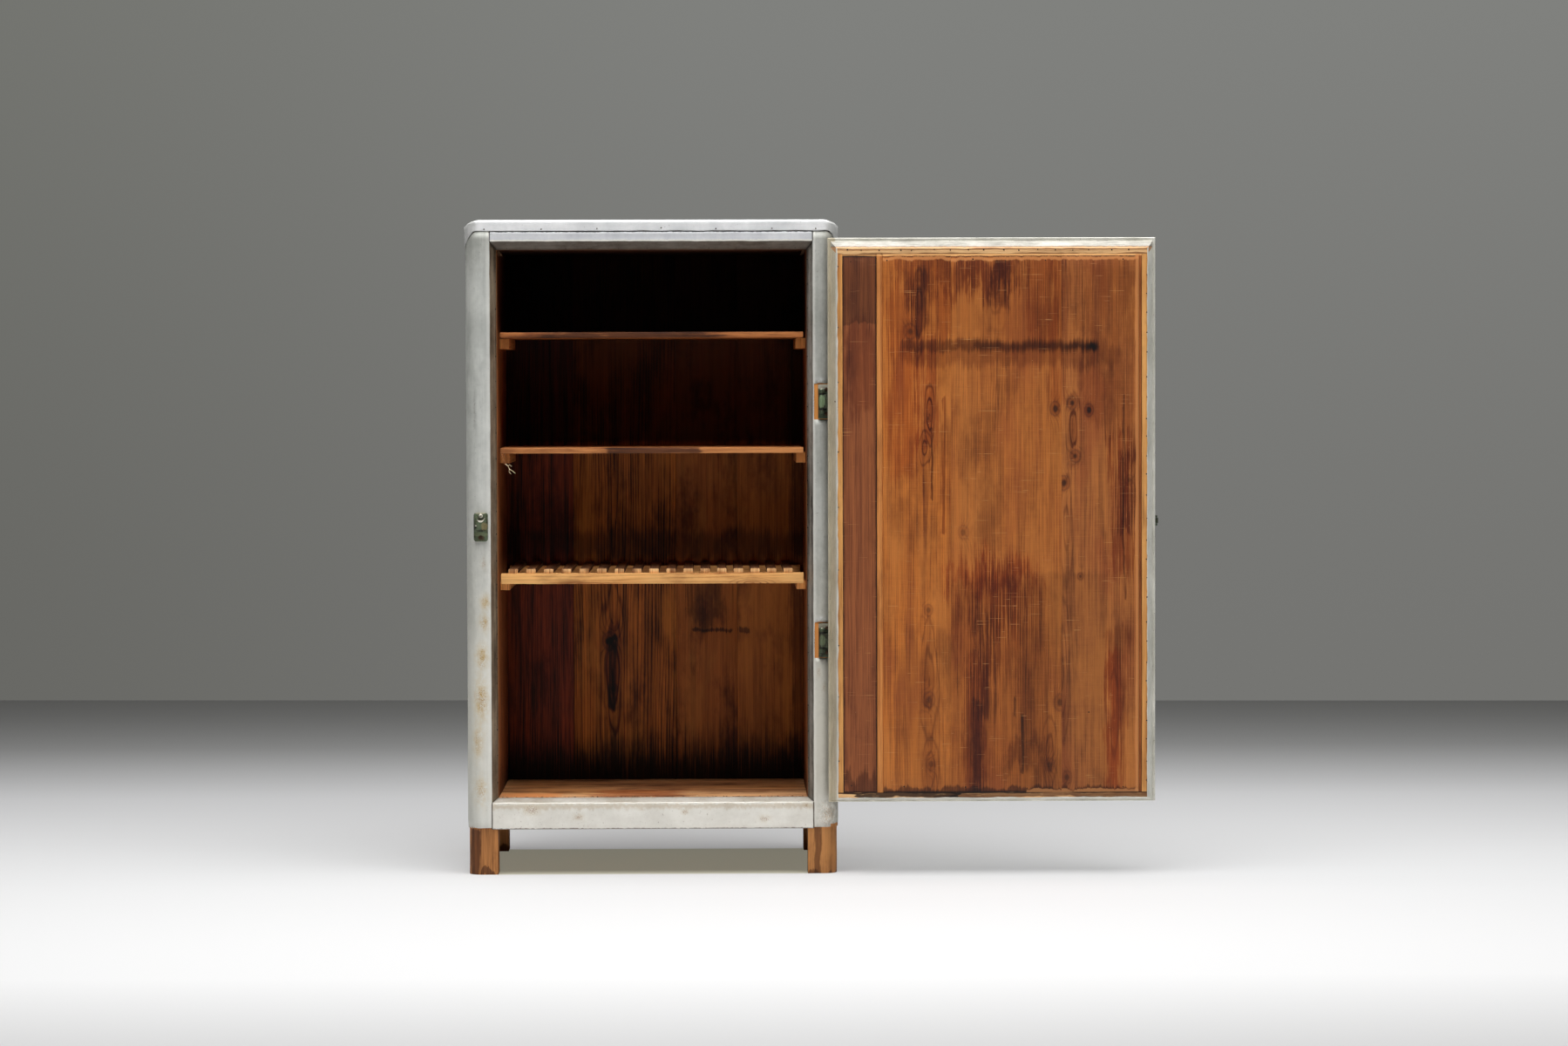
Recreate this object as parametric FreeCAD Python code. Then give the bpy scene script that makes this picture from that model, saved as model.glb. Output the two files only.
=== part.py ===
import FreeCAD, Part
import math
import os

# A zinc-clad pine pie safe on four bare feet, with one bevelled door hung on
# its right side, drawn with that door swung half a turn open.
# Units are millimetres. +X is to the right, the front faces -Y, +Z is up, and
# the origin is on the floor at the middle of the cabinet's footprint.

# ---------------------------------------------------------------------------
# Driving dimensions
# ---------------------------------------------------------------------------
BODY_WIDTH = 698.0          # over the sheet zinc of both sides
DEPTH = 464.0               # front sheet to the rear sheathing
INSIDE_DEPTH = 390.0        # front sheet to the boards seen at the back inside
HEIGHT = 1229.0             # floor to the top of the lid
SHEET = 1.0                 # zinc sheet

FOOT_HEIGHT = 88.0          # bare wood below the cladding
FOOT_INSET = 3.0            # the foot stands in from the cladding's line
POST_WIDTH = 58.0
POST_DEPTH = 50.0
CORNER_RADIUS = 27.0        # rounded front corners, over the sheet

LID_THICKNESS = 21.0
LID_OVERHANG = 1.0          # lid board past the body at each side
LID_FLANGE = 51.0           # how far the cap hangs down the sides
LID_DROP = 7.5              # how far the lid's ends fall away
LID_DROP_RUN = 22.0         # over this width

FOLD_HALF = 303.0           # half width of the opening at the front sheet
SPLAY_WIDTH = 12.0          # splay of each jamb
SPLAY_DEPTH = 24.0
SILL_FOLD = 135.0           # height of the sill's front fold
SILL_SPLAY = 8.0
HEADER_FOLD = 1188.5        # height of the header's front fold
HEADER_SPLAY = 15.0
LINING = 12.0               # inner boards, set flush between the posts
SHEATHING = 12.0            # outer boards of the sides and back
REAR_RAIL_DEPTH = 25.0

BACK_JOINTS = (-160.5, 41.5, 161.5)     # where the inner back boards meet

SHELF_HALF = 285.0          # loose between the linings
SHELF_THICKNESS = 10.5
UPPER_SHELF_TOP = 1019.0
MIDDLE_SHELF_TOP = 801.5
SLAT_SHELF_TOP = 574.0
SLAT_THICKNESS = 8.6
SLAT_WIDTH = 18.0
SLAT_COUNT = 17
SLAT_RAIL_HEIGHT = 20.0
SLAT_RAIL_DEPTH = 22.0
CLEAT_WIDTH = 18.0
CLEAT_SETBACK = 105.0       # behind the splayed jamb

DOOR_PROUD = 10.0           # outer face in front of the front sheet
DOOR_DEPTH = 23.0           # inner face behind the front sheet
DOOR_HALF = 306.5           # half width over the lip
DOOR_BOTTOM = 137.5
DOOR_TOP = 1193.0
DOOR_LIP = 9.2              # thickness of the lip that lands on the front
DOOR_GAP = 1.1              # between the door's bevel and the jamb
DOOR_FLANGE = 3.0           # sheet folded over onto the inner face
DOOR_SKIN_TO_CORE = 13.0    # thickness of the outer boards
DOOR_PANEL_BOTTOM = 156.5
DOOR_PANEL_TOP = 1162.0
# Edges of the inner boards, from the hinge side to the latch side.
HINGE_STILE_EDGE = 279.5
NARROW_BOARD_EDGE = 216.5
BEAD_WIDTH = 12.0
WIDE_BOARD_JOINTS = (77.5, -129.0)
LATCH_BEAD_EDGE = -273.5
LATCH_STILE_EDGE = -279.0

PIN_OUT = 13.0              # hinge pin in front of the front sheet
PIN_X = 318.1
PIN_RADIUS = 2.5
PIN_CLEARANCE = 0.05
KNUCKLE_RADIUS = 4.75
HINGE_HEIGHTS = (887.5, 439.5)
LEAF_HEIGHT = 64.0
KNUCKLE_LENGTH = 26.4
EAR_LENGTH = 9.0
POST_LEAF_THICKNESS = 3.5
DOOR_LEAF_THICKNESS = 3.0
DOOR_LEAF_LENGTH = 50.0

LATCH_HEIGHT = 663.0
LATCH_PIN_X = -303.5
LATCH_PIN_OUT = 26.0
LATCH_PIN_RADIUS = 2.0
TONGUE_HEIGHT = 10.0
EAR_THICKNESS = 4.0
EAR_GAP = 0.5

KEEPER_WIDTH = 26.5
KEEPER_HEIGHT = 54.0
KEEPER_BOTTOM = 627.0
KEEPER_LEFT = -334.0
KEEPER_PLATE = 3.0
KEEPER_REACH = 23.0         # how far the hook stands out

SCREW_RADIUS = 1.75
SCREW_HEAD_RADIUS = 3.6
SCREW_CROWN_RADIUS = 2.4
SCREW_HEAD_HEIGHT = 1.6
SCREW_SLOT = 1.0
SCREW_LENGTH = 15.0
SCREW_HEAD_SIDES = 12
SCREW_SHANK_SIDES = 6

# ---------------------------------------------------------------------------
# Places worked out from them
# ---------------------------------------------------------------------------
FRONT = -DEPTH / 2
BACK = DEPTH / 2
BODY_HALF = BODY_WIDTH / 2
POST_INNER = BODY_HALF - POST_WIDTH
SPLAY_BACK = FRONT + SPLAY_DEPTH
POST_BACK = FRONT + POST_DEPTH
BACK_FACE = BACK - SHEATHING
REAR_POST_FRONT = BACK_FACE - POST_DEPTH
REAR_RAIL_BACK = REAR_POST_FRONT + REAR_RAIL_DEPTH
INNER_BACK = FRONT + INSIDE_DEPTH
FLOOR_TOP = SILL_FOLD + SILL_SPLAY
CEILING = HEADER_FOLD - HEADER_SPLAY
LID_BOTTOM = HEIGHT - LID_THICKNESS
UNDERSIDE = FOOT_HEIGHT - 2.0
PIN_Y = FRONT - PIN_OUT
DOOR_OUTER = FRONT - DOOR_PROUD
DOOR_INNER = FRONT + DOOR_DEPTH
DOOR_PANEL_BACK = DOOR_OUTER + SHEET + DOOR_SKIN_TO_CORE
DOOR_INNER_WOOD = DOOR_INNER - SHEET
LATCH_PIN_Y = FRONT - LATCH_PIN_OUT

Z_AXIS = FreeCAD.Vector(0, 0, 1)
OUTWARD = FreeCAD.Vector(0, -1, 0)


# ---------------------------------------------------------------------------
# Forms
# ---------------------------------------------------------------------------
def block(x0, x1, y0, y1, z0, z1):
    """A rectangular piece between two corners."""
    corner = FreeCAD.Vector(min(x0, x1), y0, z0)
    return Part.makeBox(abs(x1 - x0), y1 - y0, z1 - z0, corner)


def mirrored(shape):
    """The same piece on the other side of the cabinet."""
    return shape.mirror(FreeCAD.Vector(0, 0, 0), FreeCAD.Vector(1, 0, 0))


def lifted(points, plane, level):
    """Turn pairs of numbers into points of a plane at one level."""
    if plane == "xy":
        return [FreeCAD.Vector(u, v, level) for u, v in points]
    if plane == "xz":
        return [FreeCAD.Vector(u, level, v) for u, v in points]
    return [FreeCAD.Vector(level, u, v) for u, v in points]


def outline(parts, plane, level):
    """A closed face from a list of corners and arcs.

    Each entry is a corner (u, v), or a pair of points ((u, v), (u, v)) for an
    arc that passes the first point and ends at the second.
    """
    edges = []
    start = parts[0]
    here = start
    for entry in list(parts[1:]) + [start]:
        if isinstance(entry[0], tuple):
            first, middle, last = lifted([here, entry[0], entry[1]], plane, level)
            edges.append(Part.Arc(first, middle, last).toShape())
            here = entry[1]
        elif math.dist(here, entry) > 1e-6:
            first, last = lifted([here, entry], plane, level)
            edges.append(Part.LineSegment(first, last).toShape())
            here = entry
    return Part.Face(Part.Wire(edges))


def prism(parts, plane, low, high):
    """Extrude such a face square to its plane from one level to another."""
    directions = {
        "xy": FreeCAD.Vector(0, 0, high - low),
        "xz": FreeCAD.Vector(0, high - low, 0),
        "yz": FreeCAD.Vector(high - low, 0, 0),
    }
    return outline(parts, plane, low).extrude(directions[plane])


def arc_middle(centre, radius, degrees):
    """A point on a circle, for the middle of an arc."""
    angle = math.radians(degrees)
    return (centre[0] + radius * math.cos(angle), centre[1] + radius * math.sin(angle))


def slab_between(near, far):
    """A solid between two flat faces with matching corners."""
    faces = [Part.Face(Part.makePolygon(ring + ring[:1])) for ring in (near, far)]
    for i in range(len(near)):
        j = (i + 1) % len(near)
        side = [near[i], near[j], far[j], far[i], near[i]]
        faces.append(Part.Face(Part.makePolygon(side)))
    return Part.makeSolid(Part.makeShell(faces))


def rod(radius, length, base, direction):
    """A round bar from a base point."""
    return Part.makeCylinder(radius, length, base, direction)


def ring_of_corners(sides, radius, x, y, z):
    """Corners of a regular polygon square to Y."""
    corners = []
    for i in range(sides):
        angle = 2 * math.pi * i / sides
        corners.append(FreeCAD.Vector(x + radius * math.cos(angle), y, z + radius * math.sin(angle)))
    return corners


def screw(x, y, z):
    """A slotted wood screw driven in from the front, its rounds drawn with flats."""
    crown = y - SCREW_HEAD_HEIGHT
    head = slab_between(
        ring_of_corners(SCREW_HEAD_SIDES, SCREW_HEAD_RADIUS, x, y, z),
        ring_of_corners(SCREW_HEAD_SIDES, SCREW_CROWN_RADIUS, x, crown, z),
    )
    slot = block(
        x - SCREW_HEAD_RADIUS, x + SCREW_HEAD_RADIUS,
        crown, crown + SCREW_HEAD_HEIGHT / 2,
        z - SCREW_SLOT / 2, z + SCREW_SLOT / 2,
    )
    shank = slab_between(
        ring_of_corners(SCREW_SHANK_SIDES, SCREW_RADIUS, x, y, z),
        ring_of_corners(SCREW_SHANK_SIDES, SCREW_RADIUS, x, y + SCREW_LENGTH, z),
    )
    return head.cut(slot).fuse(shank)


def group(shapes):
    """Separate solids that share one node."""
    return Part.makeCompound(shapes)


# ---------------------------------------------------------------------------
# The splayed opening
# ---------------------------------------------------------------------------
def splay_corners(depth, grow):
    """The opening's four corners at a depth behind the front sheet.

    The corners move apart by grow, measured square to each splayed face.
    """
    side = SPLAY_WIDTH / SPLAY_DEPTH
    below = SILL_SPLAY / SPLAY_DEPTH
    above = HEADER_SPLAY / SPLAY_DEPTH
    half = FOLD_HALF - side * depth + grow * math.hypot(1, side)
    low = SILL_FOLD + below * depth - grow * math.hypot(1, below)
    high = HEADER_FOLD - above * depth + grow * math.hypot(1, above)
    corners = [(-half, low), (half, low), (half, high), (-half, high)]
    return lifted(corners, "xz", FRONT + depth)


def splayed_void():
    """What the splay takes out of the wood."""
    return slab_between(splay_corners(0, SHEET), splay_corners(SPLAY_DEPTH, SHEET))


def splay_sheet(first, second):
    """The sheet on one splayed face, mitred at both ends."""
    near = splay_corners(0, 0)
    far = splay_corners(SPLAY_DEPTH, 0)
    near_wood = splay_corners(0, SHEET)
    far_wood = splay_corners(SPLAY_DEPTH, SHEET)
    finished = [near[first], near[second], far[second], far[first]]
    backing = [near_wood[first], near_wood[second], far_wood[second], far_wood[first]]
    return slab_between(finished, backing)


# ---------------------------------------------------------------------------
# Wooden frame
# ---------------------------------------------------------------------------
def post_section(inset, radius):
    """Plan of a right front post with its rounded outer corner."""
    side = BODY_HALF - inset
    front = FRONT + inset
    centre = (side - radius, front + radius)
    return [
        (POST_INNER, front),
        (side - radius, front),
        (arc_middle(centre, radius, -45), (side, front + radius)),
        (side, POST_BACK),
        (POST_INNER, POST_BACK),
    ]


def front_post(leaf_recess):
    """A right front post: rounded corner, splayed jamb and bare foot."""
    radius = CORNER_RADIUS - SHEET
    shaft = prism(post_section(SHEET, radius), "xy", FOOT_HEIGHT, LID_BOTTOM)
    foot = prism(post_section(FOOT_INSET, radius), "xy", 0, FOOT_HEIGHT)
    return shaft.fuse(foot).cut(leaf_recess)


def rear_post():
    """A square right rear post."""
    return block(POST_INNER, BODY_HALF - SHEET, REAR_POST_FRONT, BACK_FACE, 0, LID_BOTTOM)


def header_rail():
    """The rail over the door, splayed underneath."""
    back = SPLAY_BACK + LINING
    return block(-POST_INNER, POST_INNER, FRONT + SHEET, back, CEILING, LID_BOTTOM)


def sill_rail():
    """The rail under the door, with a ledge that carries the floor."""
    ledge = FLOOR_TOP - SHEATHING
    section = [
        (FRONT + SHEET, UNDERSIDE),
        (FRONT + POST_DEPTH - 8, UNDERSIDE),
        (FRONT + POST_DEPTH - 8, ledge),
        (SPLAY_BACK, ledge),
        (SPLAY_BACK, FLOOR_TOP),
        (FRONT + SHEET, FLOOR_TOP),
    ]
    return prism(section, "yz", -POST_INNER, POST_INNER)


def side_rails():
    """Top and bottom rails between the posts of the right side."""
    inner = POST_INNER + LINING
    outer = BODY_HALF - SHEET - SHEATHING
    heights = ((FOOT_HEIGHT, FLOOR_TOP - SHEATHING), (LID_BOTTOM - 45, LID_BOTTOM))
    return group([
        block(inner, outer, POST_BACK, REAR_POST_FRONT, low, high)
        for low, high in heights
    ])


def rear_rails():
    """Top and bottom rails between the rear posts."""
    ceiling_top = CEILING + 10
    heights = ((FOOT_HEIGHT, FLOOR_TOP - SHEATHING), (ceiling_top, LID_BOTTOM))
    return group([
        block(-POST_INNER, POST_INNER, REAR_POST_FRONT, REAR_RAIL_BACK, low, high)
        for low, high in heights
    ])


def side_boards():
    """Three upright boards that close the right side under the zinc."""
    outer = BODY_HALF - SHEET
    width = (REAR_POST_FRONT - POST_BACK) / 3
    boards = []
    for i in range(3):
        start = POST_BACK + i * width
        boards.append(
            block(outer - SHEATHING, outer, start, start + width, FOOT_HEIGHT, LID_BOTTOM)
        )
    return group(boards)


def side_lining():
    """The board that lines the right side inside, flush with both posts."""
    inner = POST_INNER
    return block(inner, inner + LINING, POST_BACK, REAR_POST_FRONT, FOOT_HEIGHT, LID_BOTTOM)


def back_boards():
    """Upright boards seen across the back inside, by name."""
    joints = (-POST_INNER,) + BACK_JOINTS + (POST_INNER,)
    boards = {}
    for i in range(len(joints) - 1):
        boards["back_board_%d" % (i + 1)] = block(
            joints[i], joints[i + 1], INNER_BACK, REAR_POST_FRONT, FLOOR_TOP, CEILING
        )
    return boards


def rear_sheathing():
    """Upright boards that close the cabinet behind its rear posts."""
    outer = BODY_HALF - SHEET
    count = 5
    width = 2 * outer / count
    return group([
        block(
            i * width - outer, (i + 1) * width - outer, BACK_FACE, BACK,
            FOOT_HEIGHT, LID_BOTTOM,
        )
        for i in range(count)
    ])


# ---------------------------------------------------------------------------
# Lid and zinc cladding
# ---------------------------------------------------------------------------
def lid_form(grow, bottom):
    """The lid: rounded in plan, falling away at its ends, soft along the front."""
    half = BODY_HALF + LID_OVERHANG + grow
    front = FRONT - LID_OVERHANG / 2 - grow
    back = BACK + LID_OVERHANG / 2 + grow
    top = HEIGHT - SHEET + grow
    radius = CORNER_RADIUS + LID_OVERHANG + grow
    shoulder = top - LID_DROP
    crown = half - LID_DROP_RUN
    mid_fall = (half - LID_DROP_RUN * 0.4, top - LID_DROP * 0.3)
    right_centre = (half - radius, front + radius)
    left_centre = (radius - half, front + radius)
    soft = 6.0 + grow
    soft_centre = (front + soft, top - soft)
    plan = prism([
        (radius - half, front),
        (half - radius, front),
        (arc_middle(right_centre, radius, -45), (half, front + radius)),
        (half, back),
        (-half, back),
        (-half, front + radius),
        (arc_middle(left_centre, radius, -135), (radius - half, front)),
    ], "xy", bottom, HEIGHT + 2)
    across = prism([
        (-half, bottom),
        (half, bottom),
        (half, shoulder),
        (mid_fall, (crown, top)),
        (-crown, top),
        ((-mid_fall[0], mid_fall[1]), (-half, shoulder)),
    ], "xz", front, back)
    along = prism([
        (front, bottom),
        (back, bottom),
        (back, top),
        (front + soft, top),
        (arc_middle(soft_centre, soft, 135), (front, top - soft)),
    ], "yz", -half, half)
    return plan.common(across).common(along)


def top_cap():
    """The zinc lid cover, cut short in front and hanging deep at the sides."""
    shell = lid_form(SHEET, HEIGHT - LID_FLANGE).cut(lid_form(0, HEIGHT - LID_FLANGE - 5))
    far = BODY_HALF + 10
    low = HEIGHT - LID_FLANGE
    turn = BODY_HALF - CORNER_RADIUS + 7.5
    middle = (turn + 13.5, low + 19)
    edge = BODY_HALF + LID_OVERHANG + SHEET
    front_trim = prism([
        (-turn, LID_BOTTOM),
        (turn, LID_BOTTOM),
        (middle, (edge, low)),
        (far, low - 10),
        (-far, low - 10),
        (-edge, low),
        ((-middle[0], middle[1]), (-turn, LID_BOTTOM)),
    ], "xz", FRONT - 5, FRONT + CORNER_RADIUS)
    rear_trim = block(1 - BODY_HALF, BODY_HALF - 1, BACK - 20, BACK + 5, low - 5, LID_BOTTOM)
    return shell.cut(front_trim).cut(rear_trim)


def side_cladding(splay, openings):
    """One sheet from the door's jamb round the corner to the back."""
    inner_radius = CORNER_RADIUS - SHEET
    centre = (BODY_HALF - CORNER_RADIUS, FRONT + CORNER_RADIUS)
    section = [
        (FOLD_HALF, FRONT),
        (centre[0], FRONT),
        (arc_middle(centre, CORNER_RADIUS, -45), (BODY_HALF, centre[1])),
        (BODY_HALF, BACK),
        (BODY_HALF - SHEET, BACK),
        (BODY_HALF - SHEET, centre[1]),
        (arc_middle(centre, inner_radius, -45), (centre[0], FRONT + SHEET)),
        (FOLD_HALF, FRONT + SHEET),
    ]
    sheet = prism(section, "xy", FOOT_HEIGHT, LID_BOTTOM).fuse(splay)
    for opening in openings:
        sheet = sheet.cut(opening)
    return sheet.removeSplitter()


def header_cladding():
    """The sheet over the header's face and splay."""
    face = block(-FOLD_HALF, FOLD_HALF, FRONT, FRONT + SHEET, HEADER_FOLD, LID_BOTTOM)
    return face.fuse(splay_sheet(2, 3)).removeSplitter()


def sill_cladding():
    """The sheet over the sill's splay and face, turned under its lower edge."""
    low = UNDERSIDE - SHEET
    face = block(-FOLD_HALF, FOLD_HALF, FRONT, FRONT + SHEET, low, SILL_FOLD)
    under = block(-POST_INNER, POST_INNER, FRONT, FRONT + 18, low, UNDERSIDE)
    return face.fuse(under).fuse(splay_sheet(0, 1)).removeSplitter()


def hinge_cutout(height):
    """The hole in the right sheet that leaves the wood bare round a hinge."""
    half = LEAF_HEIGHT / 2 + 1.5
    return block(
        FOLD_HALF + 1.5, BODY_HALF - 11, FRONT - 1, FRONT + 9, height - half, height + half
    )


# ---------------------------------------------------------------------------
# Shelves
# ---------------------------------------------------------------------------
def cleats(top, height):
    """Two strips nailed to the linings under a shelf."""
    front = SPLAY_BACK + CLEAT_SETBACK
    right = block(POST_INNER - CLEAT_WIDTH, POST_INNER, front, INNER_BACK, top - height, top)
    return group([mirrored(right), right])


def shelf(top):
    """A plain board shelf that lies loose on its cleats."""
    low = top - SHELF_THICKNESS
    return block(-SHELF_HALF, SHELF_HALF, SPLAY_BACK + 3, INNER_BACK - 0.5, low, top)


def slat_rail(front):
    """A rail across the slatted shelf."""
    top = SLAT_SHELF_TOP - SLAT_THICKNESS
    back = front + SLAT_RAIL_DEPTH
    return block(-SHELF_HALF, SHELF_HALF, front, back, top - SLAT_RAIL_HEIGHT, top)


def slats():
    """Slats from front to back, a little wider apart at the left."""
    first = -262.5
    last = 255.5
    bulge = 6.5
    edge = 1.2
    low = SLAT_SHELF_TOP - SLAT_THICKNESS
    pieces = []
    for i in range(SLAT_COUNT):
        share = i / (SLAT_COUNT - 1)
        centre = first + (last - first) * share + bulge * math.sin(math.pi * share)
        half = SLAT_WIDTH / 2
        section = [
            (centre - half, low),
            (centre + half, low),
            (centre + half, SLAT_SHELF_TOP - edge),
            (centre + half - edge, SLAT_SHELF_TOP),
            (centre - half + edge, SLAT_SHELF_TOP),
            (centre - half, SLAT_SHELF_TOP - edge),
        ]
        pieces.append(prism(section, "xz", SPLAY_BACK + 8, INNER_BACK - 1))
    return group(pieces)


# ---------------------------------------------------------------------------
# Door, drawn shut
# ---------------------------------------------------------------------------
def door_form(inset, inner):
    """The door's body: a lip in front and a bevelled plug behind it."""
    side = SPLAY_WIDTH / SPLAY_DEPTH
    above = HEADER_SPLAY / SPLAY_DEPTH
    lip_back = DOOR_OUTER + DOOR_LIP - inset
    lip = block(
        inset - DOOR_HALF, DOOR_HALF - inset,
        DOOR_OUTER + inset, lip_back,
        DOOR_BOTTOM + inset, DOOR_TOP - inset,
    )
    rings = []
    for y in (DOOR_OUTER + inset, inner):
        depth = y - FRONT
        half = FOLD_HALF - DOOR_GAP - side * depth - inset * math.hypot(1, side)
        low = SILL_FOLD + 5 + depth / 4 + inset
        high = HEADER_FOLD - DOOR_GAP - above * depth - inset * math.hypot(1, above)
        corners = [(-half, low), (half, low), (half, high), (-half, high)]
        rings.append(lifted(corners, "xz", y))
    plug = slab_between(rings[0], rings[1])
    room = block(
        inset - DOOR_HALF, DOOR_HALF - inset, DOOR_OUTER + inset, inner,
        DOOR_BOTTOM + inset, DOOR_TOP - inset,
    )
    return lip.fuse(plug.common(room)).removeSplitter()


def door_window(edge_in):
    """The area inside the folded sheet on the door's inner face."""
    corners = door_form(0, DOOR_INNER).BoundBox
    side = SPLAY_WIDTH / SPLAY_DEPTH
    above = HEADER_SPLAY / SPLAY_DEPTH
    half = FOLD_HALF - DOOR_GAP - side * DOOR_DEPTH - edge_in
    low = SILL_FOLD + 5 + DOOR_DEPTH / 4 + edge_in / 2
    high = HEADER_FOLD - DOOR_GAP - above * DOOR_DEPTH - edge_in
    return block(-half, half, DOOR_INNER_WOOD, corners.YMax + 1, low, high)


def door_skin():
    """Zinc over the outer face, lip and bevels, folded onto the inner face."""
    whole = door_form(0, DOOR_INNER)
    wood = door_form(SHEET, DOOR_INNER_WOOD)
    return whole.cut(wood).cut(door_window(DOOR_FLANGE))


def door_piece(wood, x0, x1, y0, y1, z0, z1):
    """The part of the door's wood within some limits."""
    return wood.common(block(x0, x1, y0, y1, z0, z1))


def door_wood():
    """Every board and batten of the door, by name."""
    wood = door_form(SHEET, DOOR_INNER_WOOD)
    low = DOOR_PANEL_BOTTOM
    high = DOOR_PANEL_TOP
    near = DOOR_PANEL_BACK
    far = DOOR_INNER_WOOD
    edge = DOOR_HALF + 5
    bottom = DOOR_BOTTOM - 5
    top = DOOR_TOP + 5
    course = (DOOR_TOP - DOOR_BOTTOM) / 5
    courses = []
    for i in range(5):
        start = DOOR_BOTTOM + i * course
        courses.append(
            door_piece(wood, -edge, edge, DOOR_OUTER, near, start, start + course)
        )
    pieces = {
        "door_core_boards": group(courses),
        "door_top_batten": door_piece(wood, -edge, edge, near, far, high, top),
        "door_bottom_batten": door_piece(wood, -edge, edge, near, far, bottom, low),
        "door_hinge_stile": door_piece(wood, HINGE_STILE_EDGE, edge, near, far, low, high),
        "door_latch_stile": door_piece(wood, -edge, LATCH_STILE_EDGE, near, far, low, high),
        "door_narrow_board": block(NARROW_BOARD_EDGE, HINGE_STILE_EDGE, near, far, low, high),
    }
    bead_start = NARROW_BOARD_EDGE - BEAD_WIDTH
    pieces["door_beads"] = group([
        bead(bead_start, NARROW_BOARD_EDGE, low, high),
        bead(LATCH_STILE_EDGE, LATCH_BEAD_EDGE, low, high),
    ])
    joints = (bead_start,) + WIDE_BOARD_JOINTS + (LATCH_BEAD_EDGE,)
    for i in range(len(joints) - 1):
        pieces["door_board_%d" % (i + 1)] = block(
            joints[i + 1], joints[i], near, far, low, high
        )
    return pieces


def bead(x0, x1, low, high):
    """A strip with a rounded face between two boards."""
    shoulder = DOOR_INNER_WOOD - 1.6
    section = [
        (x0, DOOR_PANEL_BACK),
        (x1, DOOR_PANEL_BACK),
        (x1, shoulder),
        (((x0 + x1) / 2, DOOR_INNER_WOOD - 0.4), (x0, shoulder)),
    ]
    return prism(section, "xy", low, high)


# ---------------------------------------------------------------------------
# Hinges, drawn with the door shut
# ---------------------------------------------------------------------------
def pin_place(height):
    return FreeCAD.Vector(PIN_X, PIN_Y, height)


def post_leaf(height):
    """The leaf on the post: a plate with two ears that hold the pin."""
    half = LEAF_HEIGHT / 2
    outer = PIN_X + 16
    inner = PIN_X - 6
    front = FRONT + SHEET - POST_LEAF_THICKNESS
    plate = block(inner, outer, front, FRONT + 6, height - half, height + half)
    corners = [edge for edge in plate.Edges if is_leaf_corner(edge, outer)]
    plate = plate.makeFillet(4.0, corners)
    solid = plate
    for low in (KNUCKLE_LENGTH / 2 + 0.15, -KNUCKLE_LENGTH / 2 - 0.15 - EAR_LENGTH):
        base = pin_place(height + low)
        ear = rod(KNUCKLE_RADIUS, EAR_LENGTH, base, Z_AXIS)
        web = block(
            PIN_X - KNUCKLE_RADIUS, PIN_X + KNUCKLE_RADIUS,
            PIN_Y, front, height + low, height + low + EAR_LENGTH,
        )
        solid = solid.fuse(ear).fuse(web)
    bore = rod(PIN_RADIUS, LEAF_HEIGHT, pin_place(height - half), Z_AXIS)
    return solid.cut(bore).removeSplitter()


def is_leaf_corner(edge, outer):
    """Whether an edge is one of the leaf's two outer corners."""
    box = edge.BoundBox
    upright = box.ZLength > 0.1
    return not upright and abs(box.XMin - outer) < 0.01 and abs(box.XMax - outer) < 0.01


def hinge_pin(height):
    """A loose pin that hangs from a button on the upper ear."""
    ear_top = KNUCKLE_LENGTH / 2 + 0.15 + EAR_LENGTH
    body = rod(PIN_RADIUS, 2 * ear_top, pin_place(height - ear_top), Z_AXIS)
    button = Part.makeCone(3.4, 2.0, 2.0, pin_place(height + ear_top), Z_AXIS)
    return body.fuse(button).removeSplitter()


def door_leaf(height):
    """The leaf on the door: a plate, a neck and the middle knuckle."""
    half = LEAF_HEIGHT / 2 - 1
    seat = DOOR_OUTER
    front = seat - DOOR_LEAF_THICKNESS
    inner = DOOR_HALF - DOOR_LEAF_LENGTH
    plate = prism([
        (DOOR_HALF - 1, height - half),
        (DOOR_HALF - 1, height + half),
        (inner + 10, height + half),
        ((inner, height), (inner + 10, height - half)),
    ], "xz", front, seat)
    knuckle_low = height - KNUCKLE_LENGTH / 2
    neck = block(
        DOOR_HALF - 6, PIN_X, front - 0.6, seat,
        knuckle_low, knuckle_low + KNUCKLE_LENGTH,
    )
    knuckle = rod(KNUCKLE_RADIUS, KNUCKLE_LENGTH, pin_place(knuckle_low), Z_AXIS)
    bore = rod(PIN_RADIUS + PIN_CLEARANCE, LEAF_HEIGHT, pin_place(height - half), Z_AXIS)
    return plate.fuse(neck).fuse(knuckle).cut(bore).removeSplitter()


def post_leaf_screws():
    """Two screws through each post leaf."""
    y = FRONT + SHEET - POST_LEAF_THICKNESS
    return [
        screw(PIN_X + 9.5, y, height + side * 23)
        for height in HINGE_HEIGHTS for side in (-1, 1)
    ]


def door_leaf_screws():
    """Three screws through each door leaf."""
    y = DOOR_OUTER - DOOR_LEAF_THICKNESS
    places = ((DOOR_HALF - 12, -23), (DOOR_HALF - 12, 23), (DOOR_HALF - 38, 0))
    return [
        screw(x, y, height + up)
        for height in HINGE_HEIGHTS for x, up in places
    ]


# ---------------------------------------------------------------------------
# Latch and keeper, drawn with the door shut
# ---------------------------------------------------------------------------
def keeper_screws():
    """Two screws through the keeper's plate."""
    x = KEEPER_LEFT + KEEPER_WIDTH / 2
    top = KEEPER_BOTTOM + KEEPER_HEIGHT
    return [screw(x, FRONT - KEEPER_PLATE, z) for z in (KEEPER_BOTTOM + 8, top - 6)]


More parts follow.
